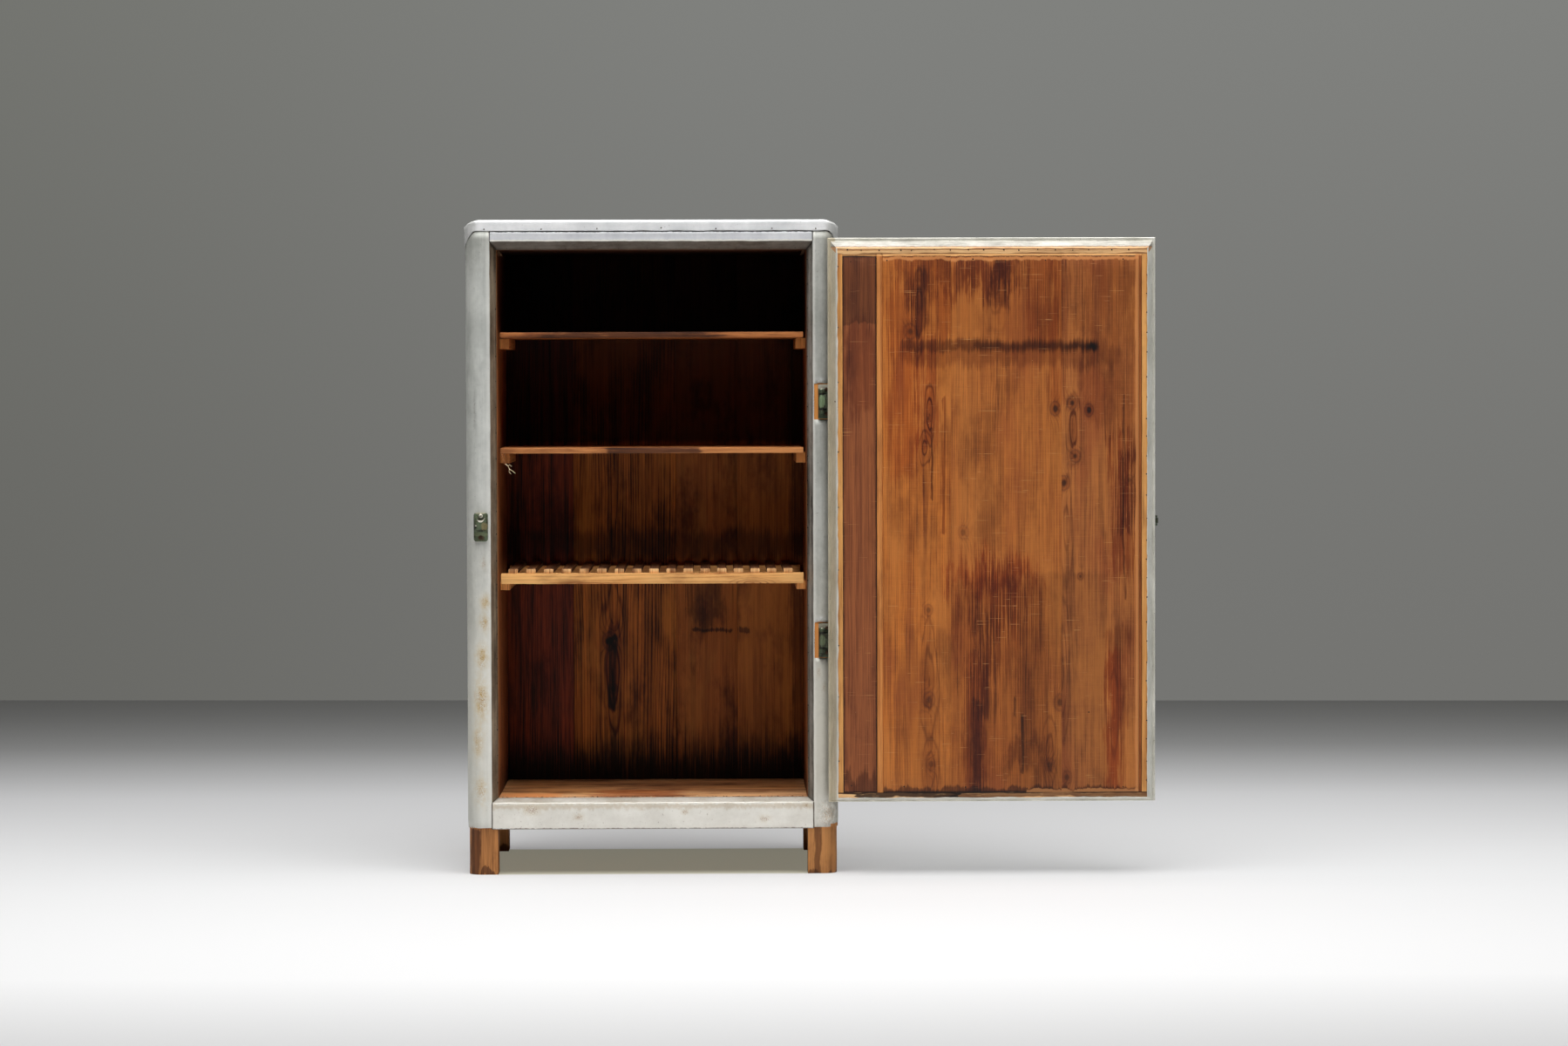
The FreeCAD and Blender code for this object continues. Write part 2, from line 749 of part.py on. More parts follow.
def keeper():
    """The cast catch on the left post: a plate with a hook open to the door."""
    right = KEEPER_LEFT + KEEPER_WIDTH
    top = KEEPER_BOTTOM + KEEPER_HEIGHT
    plate = block(KEEPER_LEFT, right, FRONT - KEEPER_PLATE, FRONT, KEEPER_BOTTOM, top)
    corners = [edge for edge in plate.Edges if edge.BoundBox.YLength > 1]
    plate = plate.makeFillet(5.0, corners)
    tip = LATCH_PIN_X - 5.5
    reach = FRONT - KEEPER_REACH
    mouth = reach + 3.8
    hook = prism([
        (KEEPER_LEFT + 2, FRONT - KEEPER_PLATE),
        (KEEPER_LEFT + 9, FRONT - KEEPER_PLATE),
        (KEEPER_LEFT + 9, mouth + 5),
        ((KEEPER_LEFT + 10.4, mouth + 1.5), (KEEPER_LEFT + 14, mouth)),
        (tip, mouth),
        (tip - 4.5, reach),
        (KEEPER_LEFT + 10, reach),
        ((KEEPER_LEFT + 4.2, reach + 3), (KEEPER_LEFT + 2, reach + 9)),
    ], "xy", LATCH_HEIGHT - 17, LATCH_HEIGHT + 8)
    tooth_half = TONGUE_HEIGHT / 2 - 0.3
    step = KEEPER_LEFT + 18.5
    for low, high in ((-20, -tooth_half), (tooth_half, 12)):
        hook = hook.cut(block(
            step, right + 5, reach - 5, FRONT - KEEPER_PLATE,
            LATCH_HEIGHT + low, LATCH_HEIGHT + high,
        ))
    solid = plate.fuse(hook)
    for seat in keeper_screws():
        middle = seat.BoundBox.Center
        base = FreeCAD.Vector(middle.x, FRONT - KEEPER_PLATE, middle.z)
        solid = solid.cut(rod(8.0, KEEPER_REACH, base, OUTWARD))
    return solid.removeSplitter()


def latch_base():
    """The latch's foot on the door: a plate with two ears at the door's edge."""
    seat = DOOR_OUTER
    front = seat - 2.5
    left = -DOOR_HALF + 0.5
    plate = block(left, left + 50, front, seat, LATCH_HEIGHT - 23, LATCH_HEIGHT + 23)
    corners = [edge for edge in plate.Edges if edge.BoundBox.YLength > 1]
    solid = plate.makeFillet(6.0, corners)
    inner = TONGUE_HEIGHT / 2 + EAR_GAP
    nose = LATCH_PIN_X - 8.0
    ear_top = LATCH_PIN_Y - 5
    for low in (inner, -inner - EAR_THICKNESS):
        ear = prism([
            (left + 2, seat - 1),
            (LATCH_PIN_X + 9, seat - 1),
            (LATCH_PIN_X + 5, LATCH_PIN_Y),
            ((LATCH_PIN_X, ear_top), (LATCH_PIN_X - 5, LATCH_PIN_Y)),
            (nose, LATCH_PIN_Y + 6),
            (nose, seat - 3.5),
            (left + 2, seat - 3.5),
        ], "xy", LATCH_HEIGHT + low, LATCH_HEIGHT + low + EAR_THICKNESS)
        solid = solid.fuse(ear)
    slot = block(
        left - 10, LATCH_PIN_X + 7, front - 1, seat + 1,
        LATCH_HEIGHT - inner, LATCH_HEIGHT + inner,
    )
    bore = rod(
        LATCH_PIN_RADIUS, 40, FreeCAD.Vector(LATCH_PIN_X, LATCH_PIN_Y, LATCH_HEIGHT - 20), Z_AXIS
    )
    return solid.cut(slot).cut(bore).removeSplitter()


def latch_pin():
    """The rivet that the lever turns on."""
    half = TONGUE_HEIGHT / 2 + EAR_GAP + EAR_THICKNESS
    low = FreeCAD.Vector(LATCH_PIN_X, LATCH_PIN_Y, LATCH_HEIGHT - half)
    high = FreeCAD.Vector(LATCH_PIN_X, LATCH_PIN_Y, LATCH_HEIGHT + half)
    body = rod(LATCH_PIN_RADIUS, 2 * half, low, Z_AXIS)
    upper = Part.makeCone(3.0, 1.8, 1.3, high, Z_AXIS)
    lower = Part.makeCone(3.0, 1.8, 1.3, low, Z_AXIS * -1)
    return body.fuse(upper).fuse(lower).removeSplitter()


def latch_spring():
    """A torsion spring of square wire wound round the latch pin."""
    wire = 0.9
    turns = 3
    sides = 9
    pitch = wire + 0.08
    radius = LATCH_PIN_RADIUS + wire / 2 + 0.6
    base = LATCH_HEIGHT + 1.5 + wire / 2
    points = []
    for i in range(turns * sides + 1):
        angle = 2 * math.pi * i / sides
        place = FreeCAD.Vector(math.cos(angle), math.sin(angle), 0) * radius
        centre = FreeCAD.Vector(LATCH_PIN_X, LATCH_PIN_Y, base + pitch * i / sides)
        points.append(centre + place)
    path = Part.makePolygon(points)
    along = (points[1] - points[0]).normalize()
    across = FreeCAD.Vector(1, 0, 0) * (wire / 2)
    upward = along.cross(across).normalize() * (wire / 2)
    corners = [across + upward, upward - across, across * -1 - upward, across - upward]
    ring = Part.makePolygon([points[0] + corner for corner in corners + corners[:1]])
    return path.makePipeShell([ring], True, False, 1)


def latch_lever():
    """The lever: a hooked tongue, a hub and a spoon-shaped handle."""
    x = LATCH_PIN_X
    y = LATCH_PIN_Y
    side = prism([
        (x - 4.6, y),
        (x - 4.7, y + 6.9),
        (x - 9.9, y + 7.6),
        (x - 9.9, y + 10),
        ((x - 9.0, y + 12), (x - 7.2, y + 12.8)),
        (x - 4.2, y + 12.8),
        (x + 0.5, y + 5),
        (x + 14, y + 2),
        ((x + 42, y - 1.5), (x + 66, y - 8.5)),
        ((x + 70.5, y - 9), (x + 70, y - 12.5)),
        ((x + 40, y - 6.6), (x + 10, y - 4.6)),
        (x, y - 4.6),
        ((x - 3.3, y - 3.3), (x - 4.6, y)),
    ], "xy", LATCH_HEIGHT - 12, LATCH_HEIGHT + 12)
    narrow = TONGUE_HEIGHT / 2
    face = prism([
        (x - 12, LATCH_HEIGHT - narrow),
        (x + 12, LATCH_HEIGHT - narrow),
        ((x + 34, LATCH_HEIGHT - 6), (x + 60, LATCH_HEIGHT - 9)),
        ((x + 72, LATCH_HEIGHT), (x + 60, LATCH_HEIGHT + 9)),
        ((x + 34, LATCH_HEIGHT + 6), (x + 12, LATCH_HEIGHT + narrow)),
        (x - 12, LATCH_HEIGHT + narrow),
    ], "xz", y - 20, y + 20)
    solid = side.common(face)
    bore_base = FreeCAD.Vector(x, y, LATCH_HEIGHT - 10)
    spring_base = FreeCAD.Vector(x, y, LATCH_HEIGHT + 1.4)
    solid = solid.cut(rod(LATCH_PIN_RADIUS + PIN_CLEARANCE, 20, bore_base, Z_AXIS))
    return solid.cut(rod(4.1, 8, spring_base, Z_AXIS)).removeSplitter()


def latch_screws():
    """Four screws through the latch's foot."""
    y = DOOR_OUTER - 2.5
    left = -DOOR_HALF + 0.5
    return [
        screw(left + along, y, LATCH_HEIGHT + up)
        for along in (18, 43) for up in (-17, 17)
    ]


# ---------------------------------------------------------------------------
# Assembly
# ---------------------------------------------------------------------------
def swung_open(shape):
    """Swing a piece of the shut door half a turn about the hinge pins."""
    turned = shape.copy()
    turned.rotate(pin_place(0), Z_AXIS, 180)
    return turned


def less(shape, tools):
    """A piece with the room for its screws taken out."""
    for tool in tools:
        shape = shape.cut(tool)
    return shape


def carcass():
    """Every node of the standing cabinet."""
    void = splayed_void()
    leaf_screws = post_leaf_screws()
    catch_screws = keeper_screws()
    cutouts = [hinge_cutout(height) for height in HINGE_HEIGHTS]
    right_post = front_post(void)
    left_post = mirrored(right_post)
    right_sheet = side_cladding(splay_sheet(1, 2), cutouts)
    left_sheet = mirrored(side_cladding(mirrored(splay_sheet(3, 0)), []))
    nodes = {
        "front_left_post": less(left_post, catch_screws),
        "front_right_post": less(right_post, leaf_screws),
        "rear_left_post": mirrored(rear_post()),
        "rear_right_post": rear_post(),
        "header_rail": header_rail().cut(void),
        "sill_rail": sill_rail().cut(void),
        "rear_rails": rear_rails(),
        "rear_sheathing": rear_sheathing(),
        "left_side_rails": mirrored(side_rails()),
        "right_side_rails": side_rails(),
        "left_side_boards": mirrored(side_boards()),
        "right_side_boards": side_boards(),
        "left_lining": mirrored(side_lining()),
        "right_lining": side_lining(),
        "floor_board": block(
            -POST_INNER, POST_INNER, SPLAY_BACK, REAR_RAIL_BACK,
            FLOOR_TOP - SHEATHING, FLOOR_TOP,
        ),
        "ceiling_board": block(
            -POST_INNER, POST_INNER, SPLAY_BACK + LINING, REAR_RAIL_BACK,
            CEILING, CEILING + 10,
        ),
        "top_board": lid_form(0, LID_BOTTOM),
        "top_cap": top_cap(),
        "left_cladding": less(left_sheet, catch_screws),
        "right_cladding": right_sheet,
        "header_cladding": header_cladding().cut(left_sheet).cut(right_sheet),
        "sill_cladding": sill_cladding().cut(left_sheet).cut(right_sheet),
        "upper_cleats": cleats(UPPER_SHELF_TOP - SHELF_THICKNESS, 20),
        "middle_cleats": cleats(MIDDLE_SHELF_TOP - SHELF_THICKNESS, 20),
        "lower_cleats": cleats(SLAT_SHELF_TOP - SLAT_THICKNESS - SLAT_RAIL_HEIGHT, 16),
        "upper_shelf": shelf(UPPER_SHELF_TOP),
        "middle_shelf": shelf(MIDDLE_SHELF_TOP),
        "slat_front_rail": slat_rail(SPLAY_BACK + 3),
        "slat_rear_rail": slat_rail(INNER_BACK - SLAT_RAIL_DEPTH - 0.5),
        "shelf_slats": slats(),
        "keeper": less(keeper(), catch_screws),
        "keeper_screws": group(catch_screws),
        "post_leaf_screws": group(leaf_screws),
    }
    nodes.update(back_boards())
    for name, height in zip(("upper", "lower"), HINGE_HEIGHTS):
        leaf = less(post_leaf(height).cut(right_post), leaf_screws)
        nodes[name + "_post_leaf"] = leaf
        nodes[name + "_hinge_pin"] = hinge_pin(height)
    return nodes


def door():
    """Every node that swings with the door, and its lever, drawn shut."""
    leaf_screws = door_leaf_screws()
    foot_screws = latch_screws()
    every_screw = leaf_screws + foot_screws
    nodes = door_wood()
    nodes["door_core_boards"] = group([
        less(board, every_screw) for board in nodes["door_core_boards"].Solids
    ])
    nodes["door_skin"] = less(door_skin(), every_screw)
    for name, height in zip(("upper", "lower"), HINGE_HEIGHTS):
        nodes[name + "_door_leaf"] = less(door_leaf(height), leaf_screws)
    nodes["door_leaf_screws"] = group(leaf_screws)
    nodes["latch_base"] = less(latch_base(), foot_screws)
    nodes["latch_screws"] = group(foot_screws)
    nodes["latch_pin"] = latch_pin()
    nodes["latch_spring"] = latch_spring()
    nodes["latch_lever"] = latch_lever()
    return nodes


def main():
    os.makedirs("parts", exist_ok=True)
    nodes = carcass()
    for name, shape in door().items():
        nodes[name] = swung_open(shape)
    for name, shape in nodes.items():
        if not shape.isValid():
            raise ValueError("the solid %s is not valid" % name)
        shape.exportStep("parts/%s.step" % name)
        print(name, len(shape.Solids), round(shape.Volume))


main()
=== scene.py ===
"""The looks of a zinc-clad pine pie safe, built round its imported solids."""
import logging
import math
import random
from dataclasses import dataclass
from enum import Enum, IntEnum
from typing import Callable, Sequence, Union

import bmesh
import bpy
from mathutils import Euler, Matrix, Vector, noise


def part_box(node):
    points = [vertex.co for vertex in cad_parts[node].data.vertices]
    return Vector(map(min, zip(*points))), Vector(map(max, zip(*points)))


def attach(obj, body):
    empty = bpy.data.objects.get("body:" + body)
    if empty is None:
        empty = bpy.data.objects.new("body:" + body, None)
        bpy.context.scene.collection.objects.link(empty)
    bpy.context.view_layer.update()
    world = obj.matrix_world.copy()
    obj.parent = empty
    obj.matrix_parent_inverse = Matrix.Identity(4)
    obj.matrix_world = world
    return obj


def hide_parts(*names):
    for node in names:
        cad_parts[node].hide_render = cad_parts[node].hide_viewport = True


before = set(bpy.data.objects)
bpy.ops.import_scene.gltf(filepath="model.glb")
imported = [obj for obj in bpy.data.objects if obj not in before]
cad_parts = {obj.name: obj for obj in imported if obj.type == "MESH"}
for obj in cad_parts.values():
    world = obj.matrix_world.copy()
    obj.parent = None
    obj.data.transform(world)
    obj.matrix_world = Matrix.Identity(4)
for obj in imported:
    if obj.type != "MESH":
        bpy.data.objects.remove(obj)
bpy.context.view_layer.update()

LOG = logging.getLogger("pie_safe")

MM = 0.001
WEAR_SEED = 1795509592
Span = tuple[float, float]
Triple = tuple[float, float, float]
Box = tuple[float, float, float, float]
Colour = tuple[float, ...]
Socket = bpy.types.NodeSocket
Number = Union[float, Socket]
Paint = Union[Socket, Colour]
Material = bpy.types.Material
BMesh = bmesh.types.BMesh
Face = bmesh.types.BMFace


# ---------------------------------------------------------------------------
# Colours and node graphs
# ---------------------------------------------------------------------------
def linear(colour: Colour) -> Colour:
    """Turns a colour as a screen shows it into the linear colour that shaders take.

    Args:
        colour: Three numbers from 0 to 255, or four that are linear already.

    Returns:
        The linear colour with its opacity.
    """
    if len(colour) == 4:
        return colour
    shares = [value / 255 for value in colour]
    return (*(s / 12.92 if s <= 0.04045 else ((s + 0.055) / 1.055) ** 2.4 for s in shares), 1.0)


class Graph:
    """Builds the nodes of one material, measured in millimetres."""

    def __init__(self, name: str) -> None:
        """Starts a material with one shader.

        Args:
            name: The material's name.
        """
        self.material = bpy.data.materials.new(name)
        self.material.use_nodes = True
        self.nodes = self.material.node_tree.nodes
        self.links = self.material.node_tree.links
        self.nodes.clear()
        self.shader = self.nodes.new("ShaderNodeBsdfPrincipled")
        self.output = self.nodes.new("ShaderNodeOutputMaterial")
        self.shown(self.shader.outputs["BSDF"])
        place = self.nodes.new("ShaderNodeTexCoord").outputs["Object"]
        self.place = self.stretched(place, (1000, 1000, 1000), (0, 0, 0))
        node = self.nodes.new("ShaderNodeSeparateXYZ")
        self.links.new(self.place, node.inputs[0])
        self.axes = {axis: node.outputs[axis] for axis in "XYZ"}

    def feed(self, socket: Socket, value: Union[Number, Colour]) -> None:
        """Links a socket to another, or sets its value."""
        if isinstance(value, Socket):
            self.links.new(value, socket)
        else:
            socket.default_value = linear(value) if isinstance(value, tuple) else value

    def shown(self, shader: Socket) -> None:
        """Makes a shader the one that the surface shows."""
        self.links.new(shader, self.output.inputs["Surface"])

    def joined(self, x: Number, y: Number, z: Number) -> Socket:
        """Joins three numbers into a vector."""
        node = self.nodes.new("ShaderNodeCombineXYZ")
        for socket, value in zip(node.inputs, (x, y, z)):
            self.feed(socket, value)
        return node.outputs[0]

    def stretched(self, vector: Socket, scale: Sequence[float], shift: Sequence[float],
                  turn: Sequence[float] = (0, 0, 0)) -> Socket:
        """Scales, turns and shifts a vector.

        Args:
            vector: The vector.
            scale: The factor on each axis.
            shift: What is added on each axis.
            turn: The turn about each axis in degrees.

        Returns:
            The new vector.
        """
        node = self.nodes.new("ShaderNodeMapping")
        self.links.new(vector, node.inputs["Vector"])
        node.inputs["Location"].default_value = shift
        node.inputs["Rotation"].default_value = [math.radians(angle) for angle in turn]
        node.inputs["Scale"].default_value = scale
        return node.outputs[0]

    def calc(self, operation: str, first: Number, second: Number = 0.0,
             third: Number = 0.0) -> Socket:
        """Adds one step of arithmetic."""
        node = self.nodes.new("ShaderNodeMath")
        node.operation = operation
        for socket, value in zip(node.inputs, (first, second, third)):
            self.feed(socket, value)
        return node.outputs[0]

    def times(self, first: Number, second: Number) -> Socket:
        """Multiplies two numbers."""
        return self.calc("MULTIPLY", first, second)

    def plus(self, first: Number, second: Number) -> Socket:
        """Adds two numbers."""
        return self.calc("ADD", first, second)

    def minus(self, first: Number, second: Number) -> Socket:
        """Takes the second number from the first."""
        return self.calc("SUBTRACT", first, second)

    def over(self, first: Number, second: Number) -> Socket:
        """Divides the first number by the second."""
        return self.calc("DIVIDE", first, second)

    def scaled(self, value: Number, factor: float, offset: Number) -> Socket:
        """Multiplies a number and adds an offset."""
        return self.calc("MULTIPLY_ADD", value, factor, offset)

    def swing(self, field: Socket, reach: float) -> Socket:
        """Turns a field around one half into one between minus the reach and the reach."""
        return self.scaled(field, 2 * reach, -reach)

    def apart(self, first: Number, second: Number) -> Socket:
        """How far apart two numbers are."""
        return self.calc("ABSOLUTE", self.minus(first, second))

    def squares(self, side: Socket, rise: Socket) -> Socket:
        """The sum of the squares of two numbers."""
        return self.plus(self.times(side, side), self.times(rise, rise))

    def step(self, value: Number, low: float, high: float) -> Socket:
        """Rises smoothly from 0 at low to 1 at high, or falls where low is the greater."""
        node = self.nodes.new("ShaderNodeMapRange")
        node.interpolation_type = "SMOOTHSTEP"
        self.feed(node.inputs["Value"], value)
        node.inputs["From Min"].default_value = low
        node.inputs["From Max"].default_value = high
        return node.outputs[0]

    def within(self, value: Socket, low: float, high: float, soft: float) -> Socket:
        """1 between two limits and 0 beyond them, with ends as soft as told."""
        half = (high - low) / 2
        return self.step(self.apart(value, (low + high) / 2), half + soft, half - soft)

    def noise(self, vector: Socket, scale: Sequence[float], seed: float, detail: float = 3.0,
              roughness: float = 0.55, turn: Sequence[float] = (0, 0, 0)) -> Socket:
        """Adds a field of noise.

        Args:
            vector: Where it is read, in millimetres.
            scale: Patches per millimetre on each axis.
            seed: Moves the field, so that no two boards are alike.
            detail: How many finer layers it has.
            roughness: How strong the finer layers are.
            turn: The turn of the field about each axis in degrees.

        Returns:
            The field, around one half.
        """
        node = self.nodes.new("ShaderNodeTexNoise")
        shift = (seed * 7.31, seed * 3.17, seed * 5.71)
        self.links.new(self.stretched(vector, scale, shift, turn), node.inputs["Vector"])
        for name, value in (("Scale", 1.0), ("Detail", detail), ("Roughness", roughness)):
            node.inputs[name].default_value = value
        return node.outputs[0]

    def blend(self, share: Number, first: Paint, second: Paint, covers: bool = True) -> Socket:
        """Mixes two colours.

        Args:
            share: How much of the second there is.
            first: The colour below.
            second: The colour over it.
            covers: Whether the second covers the first, or only darkens it.

        Returns:
            The mixed colour.
        """
        node = self.nodes.new("ShaderNodeMix")
        node.data_type = "RGBA"
        node.blend_type = "MIX" if covers else "MULTIPLY"
        for number, value in ((0, share), (6, first), (7, second)):
            self.feed(node.inputs[number], value)
        return node.outputs[2]

    def tinted(self, colour: Paint, mask: Socket, strength: Number, tint: Paint,
               covers: bool = True) -> Socket:
        """Lays a tint on a colour where a mask lets it.

        Args:
            colour: The colour below.
            mask: Where the tint lies.
            strength: How strong it is there.
            tint: The tint.
            covers: Whether it covers the colour, or only darkens it.

        Returns:
            The tinted colour.
        """
        return self.blend(self.times(mask, strength), colour, tint, covers)

    def ramp(self, value: Socket, *stops: tuple[float, Colour]) -> Socket:
        """Turns a number into a colour by stops along a line."""
        node = self.nodes.new("ShaderNodeValToRGB")
        elements = node.color_ramp.elements
        while len(elements) < len(stops):
            elements.new(1.0)
        for element, (position, colour) in zip(elements, stops):
            element.position = position
            element.color = linear(colour)
        self.links.new(value, node.inputs[0])
        return node.outputs[0]

    def away(self, centre: Triple, radii: Triple) -> Socket:
        """The distance from a point, counted in radii on each axis."""
        inverse = [1 / radius for radius in radii]
        shift = [-place * factor for place, factor in zip(centre, inverse)]
        node = self.nodes.new("ShaderNodeVectorMath")
        node.operation = "LENGTH"
        self.links.new(self.stretched(self.place, inverse, shift), node.inputs[0])
        return node.outputs["Value"]

    def bump(self, height: Socket, strength: float, depth: float) -> None:
        """Raises the surface by a height field, depth in millimetres."""
        node = self.nodes.new("ShaderNodeBump")
        node.inputs["Strength"].default_value = strength
        node.inputs["Distance"].default_value = depth * MM
        self.links.new(height, node.inputs["Height"])
        self.links.new(node.outputs[0], self.shader.inputs["Normal"])

    def glow(self, colour: Socket) -> Socket:
        """A shader that gives out a colour, whatever light falls on it."""
        node = self.nodes.new("ShaderNodeEmission")
        self.links.new(colour, node.inputs["Color"])
        return node.outputs[0]

    def either(self, share: Socket, first: Socket, second: Socket) -> Socket:
        """Mixes two shaders by the share of the second."""
        node = self.nodes.new("ShaderNodeMixShader")
        for socket, value in zip(node.inputs, (share, first, second)):
            self.links.new(value, socket)
        return node.outputs[0]

    def surface(self, colour: Socket, roughness: Number, metallic: Number = 0.0) -> Material:
        """Feeds the shader and hands the material over."""
        for name, value in (("Base Color", colour), ("Roughness", roughness),
                            ("Metallic", metallic)):
            self.feed(self.shader.inputs[name], value)
        return self.material


# ---------------------------------------------------------------------------
# Finishes
# ---------------------------------------------------------------------------
class Grain(Enum):
    """Which axes run across, along and through a board."""

    UPRIGHT_FRONT = ("X", "Z", "Y")
    UPRIGHT_SIDE = ("Y", "Z", "X")
    LEVEL_BOARD = ("Y", "X", "Z")
    LEVEL_RAIL = ("Z", "X", "Y")
    FORE_AND_AFT = ("X", "Y", "Z")


@dataclass(frozen=True)
class Knot:
    """A knot: its place across and along the board, its radius and how dark it is."""

    across: float
    along: float
    radius: float
    dark: float = 0.85


@dataclass(frozen=True)
class StainOrShade:
    """A mark in the wood, or a painted shade: where it lies, its colour and how torn its limits
    are.
    """

    across: Span
    along: Span
    colour: Colour
    strength: float = 0.6
    soft: float = 8.0
    torn: float = 0.7
    lines: float = 0.3
    covers: bool = False


@dataclass(frozen=True)
class Flame:
    """A pointed loop in the grain: its middle, half its width and height, and its lines."""

    across: float
    along: float
    wide: float
    tall: float
    dark: float = 0.7
    lines: float = 1.5
    tint: float = 0.3


@dataclass(frozen=True)
class Pine:
    """Bare aged pine: rings, fibres, knots, stains, scratches and dark rims, and painted shade."""

    name: str
    grain: Grain
    light: Colour
    dark: Colour
    seed: float = 0.0
    heart: Span = (0.0, 0.0)
    tilt: float = 0.02
    ring: float = 3.6
    figure: float = 0.5
    streak: float = 0.6
    blotch: float = 0.5
    gold: Union[Colour, None] = None
    roughness: float = 0.6
    cell: float = 0.0
    scratches: float = 0.0
    rim: Union[Box, None] = None
    knots: tuple[Knot, ...] = ()
    flames: tuple[Flame, ...] = ()
    stains_and_shade: tuple[StainOrShade, ...] = ()
    red: Union[Colour, None] = None
    threads: float = 0.44
    saw: float = 0.0
    jointed: bool = False

    def material(self) -> Material:
        """Builds the finish."""
        return PineGraph(self).drawn()


class PineGraph(Graph):
    """Builds the nodes of one pine finish, along the board's own axes."""

    def __init__(self, pine: Pine) -> None:
        """Lays out the board's axes and the fields that several marks share.

        Args:
            pine: The finish.
        """
        super().__init__(pine.name)
        self.pine = pine
        self.across, self.along, self.deep = (self.axes[axis] for axis in pine.grain.value)
        if pine.cell:
            index = self.calc("FLOOR", self.over(self.across, pine.cell))
            self.deep = self.plus(self.deep, self.times(index, 37.7))
            self.along = self.plus(self.along, self.times(index, 91.3))
        self.board = self.joined(self.across, self.along, self.deep)
        self.waver = self.field(0.05, 0.006, 3, 2.0)
        self.thread = self.field(0.55, 0.0065, 6, 3.0, 0.6)
        self.rag = self.field(0.075, 0.022, 13, 5.0, 0.68)

    def field(self, thin: float, long: float, seed: float, detail: float = 3.0,
              roughness: float = 0.55) -> Socket:
        """Adds a field of noise that runs with the grain.

        Args:
            thin: Patches per millimetre across and through the board.
            long: Patches per millimetre along it.
            seed: Sets the field apart from the board's others.
            detail: How many finer layers it has.
            roughness: How strong the finer layers are.

        Returns:
            The field, around one half.
        """
        return self.noise(self.board, (thin, long, thin), self.pine.seed + seed, detail, roughness)

    def drawn(self) -> Material:
        """Draws the wood and then its marks, one over another.

        Returns:
            The material.
        """
        pine = self.pine
        spots = [self.knot_distance(knot) for knot in pine.knots]
        late = self.rings(spots)
        streak = self.field(0.11, 0.0028, 5, 5.0, 0.66)
        fibre = self.field(1.9, 0.03, 7, 2.0, 0.6)
        blotch = self.field(0.016, 0.0060, 9, 5.0, 0.62)
        threads = self.scaled(self.step(self.thread, 0.34, 0.68), pine.threads,
                              -0.45 * pine.threads)
        share = self.times(late, self.times(self.step(blotch, 0.2, 0.75), pine.figure))
        share = self.scaled(self.step(streak, 0.34, 0.70), pine.streak, share)
        share = self.plus(self.plus(share, threads), self.scaled(fibre, 0.7, -0.36))
        if pine.saw:
            share = self.plus(share, self.swing(self.field(0.02, 0.50, 21, 3.0, 0.7), pine.saw / 2))
        colour = self.blend(share, pine.light, pine.dark)
        if pine.gold:
            warmth = self.field(0.012, 0.0036, 15, 4.0, 0.6)
            colour = self.tinted(colour, self.step(warmth, 0.46, 0.66), 0.55, pine.gold)
            if pine.red:
                colour = self.tinted(colour, self.step(warmth, 0.50, 0.34), 0.5, pine.red)
        colour = self.tinted(colour, self.step(blotch, 0.47, 0.70), pine.blotch, (150, 128, 118),
                             False)
        for knot, away in zip(pine.knots, spots):
            colour = self.knotted(knot, away, colour)
        for flame in pine.flames:
            colour = self.flamed(flame, colour)
        if pine.rim:
            colour = self.rimmed(pine.rim, colour)
        if pine.stains_and_shade:
            colour = self.stained(colour)
        if pine.scratches:
            colour = self.scratched(colour)
        if pine.jointed:
            edge = self.apart(self.calc("FRACT", self.over(self.across, pine.cell)), 0.5)
            colour = self.tinted(colour, self.step(edge, 0.492, 0.497), 0.85, (34, 22, 14))
        self.bump(self.scaled(late, -0.4, self.plus(fibre, self.thread)), 0.5, 0.3)
        self.shader.inputs["Specular IOR Level"].default_value = 0.3
        return self.surface(colour, self.scaled(streak, 0.2, pine.roughness - 0.1))

    def rings(self, spots: Sequence[Socket]) -> Socket:
        """The dark late wood of the year rings, which part round the knots.

        Args:
            spots: The distance from each knot.

        Returns:
            0 in early wood and 1 in late wood.
        """
        pine = self.pine
        drift = self.field(0.008, 0.0012, 0, 2.0)
        side = self.plus(self.across, self.scaled(drift, 40.0, -20.0 - pine.heart[0]))
        side = self.plus(side, self.swing(self.waver, 2.5))
        depth = self.plus(self.deep, self.scaled(self.along, pine.tilt, -pine.heart[1]))
        radius = self.calc("SQRT", self.squares(side, depth))
        for knot, away in zip(pine.knots, spots):
            bell = self.calc("EXPONENT", self.times(self.times(away, away), -0.2))
            radius = self.plus(radius, self.times(bell, 1.8 * knot.radius))
        rings = self.calc("FRACT", self.over(radius, pine.ring))
        return self.ramp(rings, (0.0, (0, 0, 0, 1)), (0.52, (0.08, 0.08, 0.08, 1)),
                         (0.85, (1, 1, 1, 1)), (1.0, (0, 0, 0, 1)))

    def knot_distance(self, knot: Knot) -> Socket:
        """The distance from a knot's heart in its own radii, a little uneven."""
        side = self.over(self.minus(self.across, knot.across), knot.radius)
        rise = self.over(self.minus(self.along, knot.along), knot.radius * 1.35)
        return self.plus(self.calc("SQRT", self.squares(side, rise)), self.swing(self.waver, 0.8))

    def knotted(self, knot: Knot, away: Socket, colour: Socket) -> Socket:
        """Draws a knot's halo, hoop and core, given the distance from its heart."""
        colour = self.tinted(colour, self.step(away, 2.6, 0.9), 0.7 * knot.dark, (164, 122, 104),
                             False)
        hoop = self.step(self.apart(away, 1.55), 0.32, 0.08)
        colour = self.tinted(colour, hoop, 0.5 * knot.dark, (96, 52, 34))
        return self.tinted(colour, self.step(away, 1.05, 0.4), knot.dark, (44, 22, 16))

